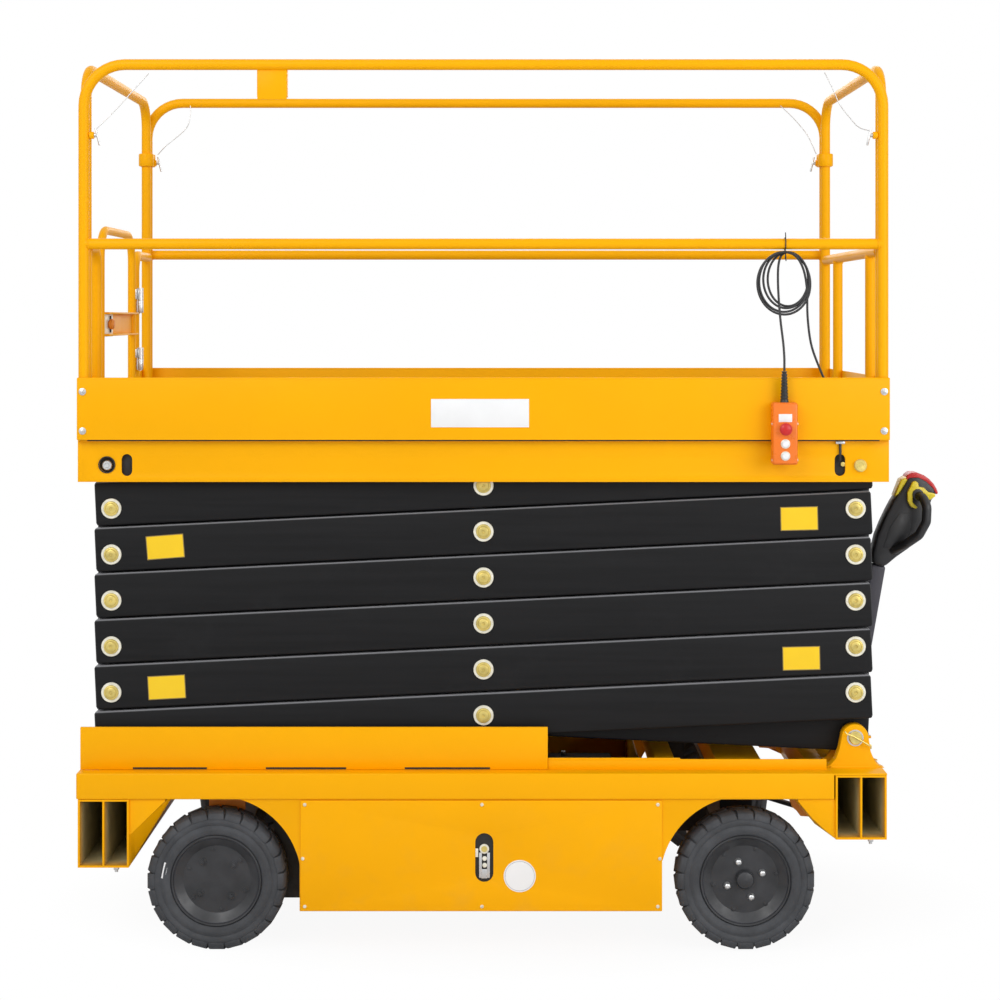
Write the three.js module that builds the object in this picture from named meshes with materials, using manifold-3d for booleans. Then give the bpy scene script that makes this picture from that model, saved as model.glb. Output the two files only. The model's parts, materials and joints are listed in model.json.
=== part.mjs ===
// Towable self-propelled scissor lift, six stages, steered by a hand tiller.
// Millimetres, +Z up, ground at z = 0. The tiller is at the +X end, the entry gate at the -X end,
// and the side with the hand control is -Y.
import * as THREE from "three";
import { mergeVertices } from "three/addons/utils/BufferGeometryUtils.js";
import Module from "manifold-3d";

const wasm = await Module();
wasm.setup();

// ---------------------------------------------------------------- dimensions
const GAP = 0.3; // between neighbouring pieces that rest on each other
const PIN_CLEAR = 0.4; // radial clearance of a pin in its bore
const TUBE_SIDES = 8;
const ROUND_SIDES = 12;

// overall
const CENTRE_SHIFT = 131.8; // machine middle to the middle of the whole length
const CHASSIS_HALF_WIDTH = 605;
const CHASSIS_BACK = -1218;
const CHASSIS_FRONT = 1208;

// scissor mast
const STAGES = 6;
const ARM_PITCH = 2258.2; // between the end pivots of one arm
const STAGE_RISE = 139.2; // between the pivots of two folded stages
const BAR_LEAN = 0.78; // degrees that each bar lies flatter than the line through its end pivots
const ARM_HEIGHT = 132;
const ARM_PAST_PIN = 48; // square end beyond the end pivot
const ARM_THICK = 45;
const OUTER_ARM_Y = 502.5;
const INNER_ARM_Y = 447.5;
const LOW_PIN_Z = 626;
const SHAFT_R = 25;
const SHAFT_END_Y = 536;
const BOSS_R = 20;
const CROSS_TUBE_R = 30;
const CROSS_TUBE_AT = 950; // along the arm from its middle
const ROLLER_R = 33;
const ROLLER_WIDE = 39;
const ROLLER_CLEAR = 1;

// lift cylinders, each from one inner frame to the next
const CYL_FOOT_AT = 250; // along the lower inner frame, towards its upper end
const CYL_HEAD_AT = -750; // along the upper inner frame
const CYL_HEAD_RISE = 140; // above that frame's middle line
const BARREL_R = 45;
const BARREL_BORE_R = 32;
const BARREL_LONG = 780;
const ROD_R = 26;
const ROD_INNER_END = 200;
const CYL_PIN_R = 18;
const EYE_R = 38;
const EYE_WIDE = 56;
const LUG_THICK = 16;
const BRIDGE_OFF = [80, 30]; // tie between a head's lugs, from the pin's place
const BRIDGE_R = 12;
const CYL_STAGES = [1, 4]; // lower inner frame of each cylinder

// base frame
const BEAM_Z = [459, 537];
const BEAM_WIDE = 60;
const BEAM_FRONT = 1050;
const TRACK_Y = 447.5;
const TRACK_WIDE = 50;
const TRACK_X = [-1180, 60];
const TOP_PLATE_THICK = 6;
const BRACKET_TOP_R = 36;
const BRACKET_Y = [480, 520];
const CHEEK_Y = [397, 417];
const COVER_X = [-1204, 194];
const COVER_TOP = 672;
const COVER_Y = 552;
const COVER_THICK = 5;
const COVER_LIP = 10;

// outrigger pockets
const REAR_POCKET = { x: [-1213, -1060], z: [255, BEAM_Z[0] - GAP] };
const FRONT_POCKET = { x: [1054, 1207], z: [339, BEAM_Z[1] - TOP_PLATE_THICK - GAP] };
const POCKET_WALL = 6;
const GUSSET_THICK = 8;

// chassis box between the wheels
const BOX_X = [-550, 505];
const BOX_Z = [123, BEAM_Z[0] - GAP];
const BOX_WALL = 5;
const SIDE_PLATE_Y = 598;
const PANEL_X = [-547, 535];
const PANEL_THICK = 5;
const ARCH_R = 250;

// running gear
const WHEEL_R = 211;
const WHEEL_WIDE = 112;
const WHEEL_Y = 540;
const REAR_WHEEL_X = -801;
const FRONT_WHEEL_X = 786;
const RIM_R = 136;
const RIM_DISC_R = 111;
const SPINDLE_R = 22;
const AXLE_SIZE = 80;
const AXLE_HALF = 400;
const KINGPIN_Y = 440;
const KINGPIN_R = 14;
const KNUCKLE_R = 30;
const STEER_ARM = 120;
const TIE_ROD_R = 12;

// work platform
const DECK_TOP = 1560;
const DECK_THICK = 6;
const DECK_HALF_LONG = 1215;
const DECK_HALF_WIDE = 578;
const DECK_BORDER = 40; // flat rim of the frame round the deck plate, which carries the rails
const TOE_THICK = 5;
const TOE_Z = [1533, 1719];
const SKIRT_Y = 560;
const SKIRT_THICK = 8;
const SKIRT_Z = [1407, DECK_TOP - DECK_THICK - GAP];
const BEARER_TOP_Z = [1548, SKIRT_Z[1]]; // clear of the arms' ends
const BEARER_DEEP_Z = [1506, SKIRT_Z[1]];
const BEARER_DEEP_Y = 415;
const TOP_TRACK_X = [-1190, 0];

// guard rails
const RAIL_R = 16.5;
const SIDE_RAIL_Y = 561;
const RAIL_X = 1198;
const TOP_RAIL_Z = 2662;
const MID_RAIL_Z = 2122;
const SIDE_BEND = 124;
const END_RAIL_Y = 527;
const END_RAIL_Z = 2645;
const END_BEND = 90;
const END_LEG_Y = [-352, 262];
const GATE_TUBE_R = 13;
const GATE_Y = [-330, 211];
const GATE_TOP = 2168;
const GATE_HINGE_Y = 238;
const GATE_HINGE_X = -RAIL_X + 24;
const GATE_KICK_TOP = 1698;
const GATE_POST_Y = [-392, 266];

// hand control and its cable
const HAND_X = 900;
const HAND_Z = [1461, 1647];
const HAND_SIZE = [81, 46];
const CABLE_R = 4;
const CABLE_SIDES = 8;
const COIL_CENTRE = [910, -568, 2002];
const COIL_RADII = [84, 86];
const COIL_BUNDLE_R = 15;

// tiller
const TILLER_X = 1205;
const TILLER_PIVOT_Z = 592;
const TILLER_LEAN = 10;
const TILLER_WIDE = 56;
const TILLER_LONG = 505;
const HEAD_HALF_WIDE = 42;
const HANDLE_HALF_WIDE = 112;
const HANDLE_R = 15;
const TILLER_SEAT_THICK = 3;

// ---------------------------------------------------------------- helpers
const RAD = Math.PI / 180;
const SIDES = [["near", -1], ["far", 1]];

function solid(geometry) {
  geometry.deleteAttribute("normal");
  geometry.deleteAttribute("uv");
  const g = mergeVertices(geometry, 1e-4);
  return new wasm.Manifold(
    new wasm.Mesh({
      numProp: 3,
      vertProperties: new Float32Array(g.attributes.position.array),
      triVerts: new Uint32Array(g.index.array),
    }),
  );
}

const join = (parts) => parts.reduce((a, b) => a.add(b));
const cut = (body, tools) => tools.reduce((a, b) => a.subtract(b), body);

// A box from its limits along x, y and z.
function box([x0, x1], [y0, y1], [z0, z1]) {
  const g = new THREE.BoxGeometry(x1 - x0, y1 - y0, z1 - z0);
  g.translate((x0 + x1) / 2, (y0 + y1) / 2, (z0 + z1) / 2);
  return solid(g);
}

// A span of the given sign, from its inner and outer distance to the middle plane.
const span = (sign, [a, b]) => (sign > 0 ? [a, b] : [-b, -a]);
const about = (middle, size) => [middle - size / 2, middle + size / 2];

// A round bar between two points.
function bar(from, to, radius, sides = ROUND_SIDES, endRadius = radius, phase = 0) {
  const a = new THREE.Vector3(...from);
  const b = new THREE.Vector3(...to);
  const g = new THREE.CylinderGeometry(endRadius, radius, a.distanceTo(b), sides, 1, false, phase);
  const along = b.clone().sub(a).normalize();
  g.applyQuaternion(new THREE.Quaternion().setFromUnitVectors(new THREE.Vector3(0, 1, 0), along));
  g.translate(...a.add(b).multiplyScalar(0.5).toArray());
  return solid(g);
}

// The cutter for a pin's hole: its flats face the pin's edges, the clearance away from them.
const holeRadius = (radius, sides = ROUND_SIDES) => (radius + PIN_CLEAR) / Math.cos(Math.PI / sides);
function hole(from, to, pinRadius) {
  return bar(from, to, holeRadius(pinRadius), ROUND_SIDES, holeRadius(pinRadius), Math.PI / ROUND_SIDES);
}
const crossHole = (x, z, [y0, y1], pinRadius) => hole([x, y0, z], [x, y1, z], pinRadius);

// A bar across the machine at (x, z).
const crossBar = (x, z, [y0, y1], radius, sides) => bar([x, y0, z], [x, y1, z], radius, sides);

// A flat plate of the outline [[x, z], ...], spanning y0..y1.
function plate(outline, [y0, y1], segments = 8) {
  const shape = outline instanceof THREE.Shape
    ? outline
    : new THREE.Shape(outline.map(([x, z]) => new THREE.Vector2(x, z)));
  const g = new THREE.ExtrudeGeometry(shape, {
    depth: y1 - y0,
    bevelEnabled: false,
    curveSegments: segments,
  });
  g.rotateX(Math.PI / 2);
  g.translate(0, y1, 0);
  return solid(g);
}

// A path of straight runs with rounded corners, as knots with their directions.
class BentPath extends THREE.Curve {
  constructor(points, bend, steps = 4) {
    super();
    const at = points.map((p) => new THREE.Vector3(...p));
    this.knots = [];
    const way = (i) => at[i + 1].clone().sub(at[i]).normalize();
    this.knots.push([at[0], way(0)]);
    for (let i = 1; i < at.length - 1; i++) {
      const inward = way(i - 1);
      const outward = way(i);
      const turn = inward.angleTo(outward);
      const reach = bend * Math.tan(turn / 2);
      const start = at[i].clone().addScaledVector(inward, -reach);
      const side = outward.clone().addScaledVector(inward, -outward.dot(inward)).normalize();
      for (let s = 0; s <= steps; s++) {
        const a = (turn * s) / steps;
        const p = start.clone()
          .addScaledVector(inward, bend * Math.sin(a))
          .addScaledVector(side, bend * (1 - Math.cos(a)));
        const t = inward.clone().multiplyScalar(Math.cos(a)).addScaledVector(side, Math.sin(a));
        this.knots.push([p, t]);
      }
    }
    this.knots.push([at[at.length - 1], way(at.length - 2)]);
  }
  get steps() {
    return this.knots.length - 1;
  }
  getPointAt(u) {
    return this.knots[Math.round(u * this.steps)][0].clone();
  }
  getTangentAt(u) {
    return this.knots[Math.round(u * this.steps)][1].clone();
  }
}

function sweep(path, steps, radius, sides = TUBE_SIDES) {
  const section = new THREE.Shape().absarc(0, 0, radius, 0, 2 * Math.PI, false);
  return solid(
    new THREE.ExtrudeGeometry(section, {
      steps,
      extrudePath: path,
      curveSegments: sides / 2,
      bevelEnabled: false,
    }),
  );
}

function bentTube(points, bend, radius, sides = TUBE_SIDES, bendSteps = 4) {
  const path = new BentPath(points, bend, bendSteps);
  return sweep(path, path.steps, radius, sides);
}

// A smooth cable through hand-placed points.
function cable(points, steps) {
  const path = new THREE.CatmullRomCurve3(points.map((p) => new THREE.Vector3(...p)), false, "centripetal");
  return sweep(path, steps, CABLE_R, CABLE_SIDES);
}

// A turned piece about the y axis from its profile [[radius, y], ...].
function turned(profile, sides = 32) {
  const closed = [...profile, profile[0]];
  return solid(new THREE.LatheGeometry(closed.map(([r, y]) => new THREE.Vector2(r, y)), sides));
}

const machine = new THREE.Group();
machine.position.x = -CENTRE_SHIFT;

function toGeometry(body) {
  const mesh = body.getMesh();
  const g = new THREE.BufferGeometry();
  g.setAttribute("position", new THREE.BufferAttribute(new Float32Array(mesh.vertProperties), 3));
  g.setIndex(new THREE.BufferAttribute(new Uint32Array(mesh.triVerts), 1));
  const flat = g.toNonIndexed();
  flat.computeVertexNormals();
  return flat;
}

const paint = (color, roughness, metalness) =>
  new THREE.MeshStandardMaterial({ color, roughness, metalness });
const YELLOW = paint(0xf2a400, 0.42, 0.1);
const CHARCOAL = paint(0x2b2b2c, 0.5, 0.2);
const ZINC = paint(0xc9c6bd, 0.35, 0.9);
const CHROME = paint(0xdfe1e3, 0.12, 1);
const RUBBER = paint(0x3a3b3d, 0.9, 0);
const BLACK = paint(0x141414, 0.6, 0);
const ORANGE = paint(0xe8641e, 0.45, 0);
const DECKING = paint(0x8f9294, 0.5, 0.8);
const GREY = paint(0x84878a, 0.55, 0.3);

function add(name, body, material, parent = machine) {
  const mesh = new THREE.Mesh(toGeometry(body), material);
  mesh.name = name;
  parent.add(mesh);
  return mesh;
}

// ---------------------------------------------------------------- scissor mast
const HALF_PITCH = ARM_PITCH / 2;
const FOLD_ANGLE = Math.asin(STAGE_RISE / ARM_PITCH);
const HALF_SPAN = HALF_PITCH * Math.cos(FOLD_ANGLE);
const ARM_IN = ARM_THICK / 2;
const outerSpan = (sign) => span(sign, [OUTER_ARM_Y - ARM_IN, OUTER_ARM_Y + ARM_IN]);
const innerSpan = (sign) => span(sign, [INNER_ARM_Y - ARM_IN, INNER_ARM_Y + ARM_IN]);
const INNER_FACE = INNER_ARM_Y - ARM_IN;

const ARM_END = HALF_PITCH + ARM_PAST_PIN;
const arm = (ys) => box([-ARM_END, ARM_END], ys, about(0, ARM_HEIGHT)).rotate([0, BAR_LEAN, 0]);
const fullShaft = (x) => crossBar(x, 0, [-SHAFT_END_Y, SHAFT_END_Y], SHAFT_R);

// Two bridged lugs on a split cross tube, with a rod's eye between them. The pin of this open
// pivot is left out, and the rod swings down through the split.
function headLugs(x, rise) {
  const halfGap = EYE_WIDE / 2 + GAP;
  const bridge = [x - BRIDGE_OFF[0], rise + BRIDGE_OFF[1]];
  const outline = [
    [x - 45, 0], [x + 45, 0], [x + 36, rise + 12], [x, rise + EYE_R],
    [bridge[0] - 16, bridge[1] + 16], [bridge[0] - 16, bridge[1] - 16],
  ];
  const pieces = [crossBar(...bridge, [-halfGap - 1, halfGap + 1], BRIDGE_R)];
  for (const [, s] of SIDES) {
    pieces.push(crossBar(x, 0, span(s, [halfGap, INNER_FACE]), CROSS_TUBE_R));
    pieces.push(plate(outline, span(s, [halfGap, halfGap + LUG_THICK])));
  }
  return pieces;
}

// The foot pin sits inside a cross tube that is split around the eye.
function footPin(x) {
  const halfGap = EYE_WIDE / 2 + GAP;
  const pieces = [crossBar(x, 0, [-halfGap - LUG_THICK, halfGap + LUG_THICK], CYL_PIN_R)];
  for (const [, s] of SIDES) pieces.push(crossBar(x, 0, span(s, [halfGap, INNER_FACE]), EYE_R));
  return pieces;
}

function outerFrame(stage) {
  const pieces = SIDES.map(([, s]) => arm(outerSpan(s)));
  pieces.push(fullShaft(-HALF_PITCH), fullShaft(HALF_PITCH));
  for (const [, s] of SIDES) pieces.push(crossBar(0, 0, span(s, [INNER_FACE - 6, SHAFT_END_Y]), SHAFT_R));
  if (stage === 1) {
    const ys = about(TRACK_Y, ROLLER_WIDE);
    for (const [, s] of SIDES) pieces.push(crossBar(-HALF_PITCH, 0, span(s, ys), ROLLER_R));
  }
  return join(pieces);
}

// The inner frame's own x axis points from its lower (+X) end to its upper end.
function innerFrame(stage) {
  const pieces = SIDES.map(([, s]) => arm(innerSpan(s)));
  const tube = (x) => crossBar(x, 0, [-INNER_FACE - 1, INNER_FACE + 1], CROSS_TUBE_R);
  pieces.push(tube(CROSS_TUBE_AT));
  if (CYL_STAGES.includes(stage - 1)) pieces.push(...headLugs(CYL_HEAD_AT, CYL_HEAD_RISE));
  else pieces.push(tube(-CROSS_TUBE_AT));
  if (CYL_STAGES.includes(stage)) pieces.push(...footPin(CYL_FOOT_AT));
  let body = join(pieces);
  const bore = (x) => crossHole(x, 0, [-INNER_FACE - ARM_THICK - 1, INNER_FACE + ARM_THICK + 1], SHAFT_R);
  const endShaft = stage === STAGES;
  body = cut(body, [bore(-HALF_PITCH), bore(0)]);
  if (!endShaft) return cut(body, [bore(HALF_PITCH)]);
  const ys = about(OUTER_ARM_Y, ROLLER_WIDE);
  const rollers = SIDES.map(([, s]) => crossBar(HALF_PITCH, 0, span(s, ys), ROLLER_R));
  return join([body, fullShaft(HALF_PITCH), ...rollers]);
}

function innerPlace(stage) {
  const place = new THREE.Group();
  place.position.set(0, 0, LOW_PIN_Z + (stage - 0.5) * STAGE_RISE);
  // local +x to the upper end at -X: half a turn about z, then the fold angle
  place.rotation.set(0, FOLD_ANGLE, Math.PI, "YXZ");
  machine.add(place);
  return place;
}

const innerPlaces = [];
for (let stage = 1; stage <= STAGES; stage++) {
  const outer = add(`stage_${stage}_outer_arms`, outerFrame(stage), CHARCOAL);
  outer.position.set(0, 0, LOW_PIN_Z + (stage - 0.5) * STAGE_RISE);
  outer.rotation.y = -FOLD_ANGLE;
  const place = innerPlace(stage);
  innerPlaces[stage] = place;
  add(`stage_${stage}_inner_arms`, innerFrame(stage), CHARCOAL, place);
}

// ---------------------------------------------------------------- lift cylinders
// Built along local x from the foot pin, then turned onto the line between the two pins.
machine.updateMatrixWorld(true);
CYL_STAGES.forEach((stage, i) => {
  const inMachine = (v) => machine.worldToLocal(v);
  const foot = inMachine(innerPlaces[stage].localToWorld(new THREE.Vector3(CYL_FOOT_AT, 0, 0)));
  const head = inMachine(
    innerPlaces[stage + 1].localToWorld(new THREE.Vector3(CYL_HEAD_AT, 0, CYL_HEAD_RISE)),
  );
  const long = foot.distanceTo(head);
  const place = new THREE.Group();
  place.position.copy(foot);
  place.rotation.y = -Math.atan2(head.z - foot.z, head.x - foot.x);
  machine.add(place);
  const eyeWidth = [-EYE_WIDE / 2, EYE_WIDE / 2];
  const barrel = cut(
    join([
      crossBar(0, 0, eyeWidth, EYE_R - 2),
      box([10, EYE_R + 20], eyeWidth, about(0, 60)),
      bar([EYE_R + 12, 0, 0], [BARREL_LONG, 0, 0], BARREL_R),
      bar([BARREL_LONG - 50, 0, 0], [BARREL_LONG, 0, 0], BARREL_R + 5),
    ]),
    [
      bar([ROD_INNER_END - 40, 0, 0], [BARREL_LONG + 1, 0, 0], BARREL_BORE_R),
      crossHole(0, 0, [-EYE_WIDE, EYE_WIDE], CYL_PIN_R),
    ],
  );
  add(`lift_cylinder_${i + 1}_barrel`, barrel, CHARCOAL, place);
  const rod = join([
    bar([ROD_INNER_END, 0, 0], [long - EYE_R + 10, 0, 0], ROD_R),
    crossBar(long, 0, eyeWidth, EYE_R - 2),
  ]);
  add(`lift_cylinder_${i + 1}_rod`, rod, CHROME, place);
});

// ---------------------------------------------------------------- base frame
function bracketOutline() {
  const r = BRACKET_TOP_R;
  return new THREE.Shape()
    .moveTo(BEAM_FRONT - 10, BEAM_Z[1] - 2)
    .lineTo(CHASSIS_FRONT, BEAM_Z[1] - 2)
    .lineTo(HALF_SPAN + r, LOW_PIN_Z)
    .absarc(HALF_SPAN, LOW_PIN_Z, r, 0, Math.PI, false);
}

function baseFrame() {
  const pieces = [];
  const width = [-CHASSIS_HALF_WIDTH, CHASSIS_HALF_WIDTH];
  for (const [, s] of SIDES) {
    const beamY = span(s, [CHASSIS_HALF_WIDTH - BEAM_WIDE, CHASSIS_HALF_WIDTH]);
    pieces.push(box([CHASSIS_BACK, BEAM_FRONT], beamY, BEAM_Z));
    const trackTop = LOW_PIN_Z - ROLLER_R - ROLLER_CLEAR;
    pieces.push(box(TRACK_X, span(s, about(TRACK_Y, TRACK_WIDE)), [BEAM_Z[1] - 2, trackTop]));
    pieces.push(plate(bracketOutline(), span(s, [BRACKET_Y[0], BRACKET_Y[1]])));
    pieces.push(plate(bracketOutline(), span(s, CHEEK_Y)));
  }
  for (const x of [CHASSIS_BACK + 30, -560, -60, 560, BEAM_FRONT - 30]) {
    pieces.push(box(about(x, 60), width, BEAM_Z));
  }
  for (const x of [REAR_WHEEL_X, FRONT_WHEEL_X]) pieces.push(box(about(x, 140), width, BEAM_Z));
  const topPlateZ = [BEAM_Z[1] - TOP_PLATE_THICK, BEAM_Z[1]];
  pieces.push(box([BEAM_FRONT - 5, CHASSIS_FRONT], width, topPlateZ));
  pieces.push(
    box([CHASSIS_FRONT - 70, TILLER_X + 52], [-70, 70], [topPlateZ[0], BEAM_Z[1] + TILLER_SEAT_THICK]),
  );
  pieces.push(crossBar(HALF_SPAN, LOW_PIN_Z, [-SHAFT_END_Y, SHAFT_END_Y], SHAFT_R));
  return join(pieces);
}
add("base_frame", baseFrame(), YELLOW);

for (const [side, s] of SIDES) {
  const wall = span(s, [COVER_Y - COVER_THICK, COVER_Y]);
  const z = [BEAM_Z[1] + GAP, COVER_TOP];
  const cover = join([
    box(COVER_X, wall, z),
    box(COVER_X, span(s, [COVER_Y - COVER_LIP, COVER_Y]), [COVER_TOP - COVER_THICK, COVER_TOP]),
    box(COVER_X, span(s, [COVER_Y - 1, COVER_Y + 18]), [z[0], z[0] + COVER_THICK]),
  ]);
  add(`track_cover_${side}`, cover, YELLOW);
}

// ---------------------------------------------------------------- outrigger pockets
function pocketPair({ x, z }, gussets) {
  const width = [-CHASSIS_HALF_WIDTH, CHASSIS_HALF_WIDTH];
  const past = [width[0] - 1, width[1] + 1];
  const middle = (x[0] + x[1]) / 2;
  const inner = [z[0] + POCKET_WALL, z[1] - POCKET_WALL];
  const cells = [
    box([x[0] + POCKET_WALL, middle - POCKET_WALL / 2], past, inner),
    box([middle + POCKET_WALL / 2, x[1] - POCKET_WALL], past, inner),
  ];
  const plates = SIDES.map(([, s]) =>
    plate(gussets, span(s, [SIDE_PLATE_Y - GUSSET_THICK, SIDE_PLATE_Y])),
  );
  return join([cut(box(x, width, z), cells), ...plates]);
}
const rearEdge = REAR_POCKET.x[1] - 1;
add(
  "rear_outrigger_pockets",
  pocketPair(REAR_POCKET, [
    [rearEdge, REAR_POCKET.z[1]],
    [rearEdge, 348],
    [-952, REAR_POCKET.z[1] - 6],
    [-952, REAR_POCKET.z[1]],
  ]),
  YELLOW,
);
const frontEdge = FRONT_POCKET.x[0] + 1;
add(
  "front_outrigger_pockets",
  pocketPair(FRONT_POCKET, [
    [frontEdge, FRONT_POCKET.z[0]],
    [frontEdge, BEAM_Z[0] - GAP],
    [943, BEAM_Z[0] - GAP],
    [943, BEAM_Z[0] - 8],
  ]),
  YELLOW,
);

// ---------------------------------------------------------------- chassis box
// Side plate outline with the arches over both wheels.
function archPoints(wheelX, fromAngle, toAngle, steps) {
  const points = [];
  for (let i = 0; i <= steps; i++) {
    const a = (fromAngle + ((toAngle - fromAngle) * i) / steps) * RAD;
    points.push([wheelX + ARCH_R * Math.cos(a), WHEEL_R + ARCH_R * Math.sin(a)]);
  }
  return points;
}
// The beam cuts the arch off, or the arch closes under it.
const archCut = BOX_Z[1] - WHEEL_R < ARCH_R;
const topReach = archCut ? Math.sqrt(ARCH_R ** 2 - (BOX_Z[1] - WHEEL_R) ** 2) : 0;
const topAngle = archCut ? Math.atan2(BOX_Z[1] - WHEEL_R, topReach) / RAD : 90;
const aboveArch = archCut ? [] : [[FRONT_WHEEL_X, BOX_Z[1]], [REAR_WHEEL_X, BOX_Z[1]]];
function sidePlateOutline() {
  const rear = archPoints(REAR_WHEEL_X, topAngle, 0, 7);
  const front = archPoints(FRONT_WHEEL_X, 180, 180 - topAngle, 7);
  return [
    ...rear,
    [BOX_X[0], WHEEL_R - 20],
    [BOX_X[0], BOX_Z[0]],
    [PANEL_X[1], BOX_Z[0]],
    ...front,
    ...aboveArch,
  ];
}

function chassisBox() {
  const inside = SIDE_PLATE_Y - BOX_WALL;
  const width = [-inside - 1, inside + 1];
  const pieces = [
    box([BOX_X[0], BOX_X[1]], width, [BOX_Z[0], BOX_Z[0] + BOX_WALL]),
    box([BOX_X[0], BOX_X[0] + BOX_WALL], width, BOX_Z),
    box([BOX_X[1] - BOX_WALL, BOX_X[1]], width, BOX_Z),
  ];
  for (const [, s] of SIDES) {
    pieces.push(plate(sidePlateOutline(), span(s, [inside, SIDE_PLATE_Y])));
  }
  return join(pieces);
}
add("chassis_box", chassisBox(), YELLOW);
for (const [side, s] of SIDES) {
  const ys = span(s, [SIDE_PLATE_Y + GAP, SIDE_PLATE_Y + GAP + PANEL_THICK]);
  add(`side_panel_${side}`, box(PANEL_X, ys, [BOX_Z[0] + 3, BOX_Z[1] - 3]), YELLOW);
}
add("power_pack", box([-480, 440], [-430, 430], [BOX_Z[0] + BOX_WALL + GAP, 400]), BLACK);

// ---------------------------------------------------------------- running gear
const axleZ = about(WHEEL_R, AXLE_SIZE);
function rearAxle() {
  const pieces = [box(about(REAR_WHEEL_X, AXLE_SIZE), [-AXLE_HALF, AXLE_HALF], axleZ)];
  for (const [, s] of SIDES) {
    pieces.push(
      box(about(REAR_WHEEL_X, 100), span(s, [AXLE_HALF - 60, AXLE_HALF - 40]), [WHEEL_R, BEAM_Z[0] - GAP]),
      crossBar(REAR_WHEEL_X, WHEEL_R, span(s, [AXLE_HALF - 5, WHEEL_Y + 40]), SPINDLE_R),
    );
  }
  pieces.push(box(about(REAR_WHEEL_X, 160), [-AXLE_HALF, AXLE_HALF], [BEAM_Z[0] - GAP - 12, BEAM_Z[0] - GAP]));
  return join(pieces);
}
add("rear_axle", rearAxle(), CHARCOAL);

const FORK_THICK = 16;
const forkZ = (up) => (up > 0 ? [axleZ[1], axleZ[1] + FORK_THICK] : [axleZ[0] - FORK_THICK, axleZ[0]]);
function frontAxle() {
  const pieces = [box(about(FRONT_WHEEL_X, AXLE_SIZE), [-AXLE_HALF + 40, AXLE_HALF - 40], axleZ)];
  for (const [, s] of SIDES) {
    for (const up of [-1, 1]) {
      const [a, b] = forkZ(up);
      pieces.push(box(about(FRONT_WHEEL_X, 60), span(s, [AXLE_HALF - 80, KINGPIN_Y + 30]), [a - 1, b + 1]));
    }
    const [low] = forkZ(-1);
    const [, top] = forkZ(1);
    pieces.push(bar([FRONT_WHEEL_X, s * KINGPIN_Y, low - 6], [FRONT_WHEEL_X, s * KINGPIN_Y, top + 6], KINGPIN_R));
    pieces.push(
      box(about(FRONT_WHEEL_X, 100), span(s, [AXLE_HALF - 80, AXLE_HALF - 60]), [WHEEL_R, BEAM_Z[0] - GAP]),
    );
  }
  pieces.push(
    box(about(FRONT_WHEEL_X, 160), [-AXLE_HALF, AXLE_HALF], [BEAM_Z[0] - GAP - 12, BEAM_Z[0] - GAP]),
  );
  return join(pieces);
}
add("front_axle", frontAxle(), CHARCOAL);

const KNUCKLE_Z = [axleZ[0] + 2, axleZ[1] - 2];
const ARM_Z = about(WHEEL_R, 16);
const tieX = FRONT_WHEEL_X - STEER_ARM;
const tieY = KINGPIN_Y - 30;
for (const [side, s] of SIDES) {
  const y = s * KINGPIN_Y;
  const body = cut(
    join([
      bar([FRONT_WHEEL_X, y, KNUCKLE_Z[0]], [FRONT_WHEEL_X, y, KNUCKLE_Z[1]], KNUCKLE_R),
      crossBar(FRONT_WHEEL_X, WHEEL_R, span(s, [KINGPIN_Y + 15, WHEEL_Y + 40]), SPINDLE_R),
      box([tieX - 18, FRONT_WHEEL_X - 15], span(s, about(tieY + 8, 36)), ARM_Z),
    ]),
    [hole([FRONT_WHEEL_X, y, KNUCKLE_Z[0] - 5], [FRONT_WHEEL_X, y, KNUCKLE_Z[1] + 5], KINGPIN_R)],
  );
  add(`steering_knuckle_${side}`, body, CHARCOAL);
}
const tieZ = ARM_Z[1] + GAP + TIE_ROD_R + 5;
add(
  "tie_rod",
  join([
    crossBar(tieX, tieZ, [-tieY, tieY], TIE_ROD_R, 12),
    ...SIDES.map(([, s]) => bar([tieX, s * tieY, tieZ - TIE_ROD_R - 5], [tieX, s * tieY, tieZ + 12], 17, 16)),
  ]),
  ZINC,
);

const WHEEL_SIDES = 24;
const RIM_SIDES = 24;
const TYRE_PROFILE = [
  [RIM_R + GAP, -48], [196, -WHEEL_WIDE / 2], [WHEEL_R, -42],
  [WHEEL_R, 42], [196, WHEEL_WIDE / 2], [RIM_R + GAP, 48],
];
const HUB_R = holeRadius(SPINDLE_R, RIM_SIDES);
const RIM_PROFILE = [
  [HUB_R, -30], [RIM_DISC_R, -20], [RIM_DISC_R, -42], [RIM_R, -48],
  [RIM_R, 48], [RIM_DISC_R, 42], [RIM_DISC_R, 14], [62, 14], [62, 40], [HUB_R, 40],
];
for (const [axle, x] of [["rear", REAR_WHEEL_X], ["front", FRONT_WHEEL_X]]) {
  for (const [side, s] of SIDES) {
    const place = new THREE.Group();
    place.position.set(x, s * WHEEL_Y, WHEEL_R);
    place.rotation.z = s > 0 ? 0 : Math.PI;
    machine.add(place);
    add(`tyre_${axle}_${side}`, turned(TYRE_PROFILE, WHEEL_SIDES), RUBBER, place);
    add(`wheel_rim_${axle}_${side}`, turned(RIM_PROFILE, RIM_SIDES), CHARCOAL, place);
  }
}

// ---------------------------------------------------------------- work platform
const TOP_PIN_Z = LOW_PIN_Z + STAGES * STAGE_RISE;
const plateX = DECK_HALF_LONG - DECK_BORDER - GAP;
const plateY = DECK_HALF_WIDE - DECK_BORDER - GAP;
add("deck", box([-plateX, plateX], [-plateY, plateY], [DECK_TOP - DECK_THICK, DECK_TOP]), DECKING);

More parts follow.
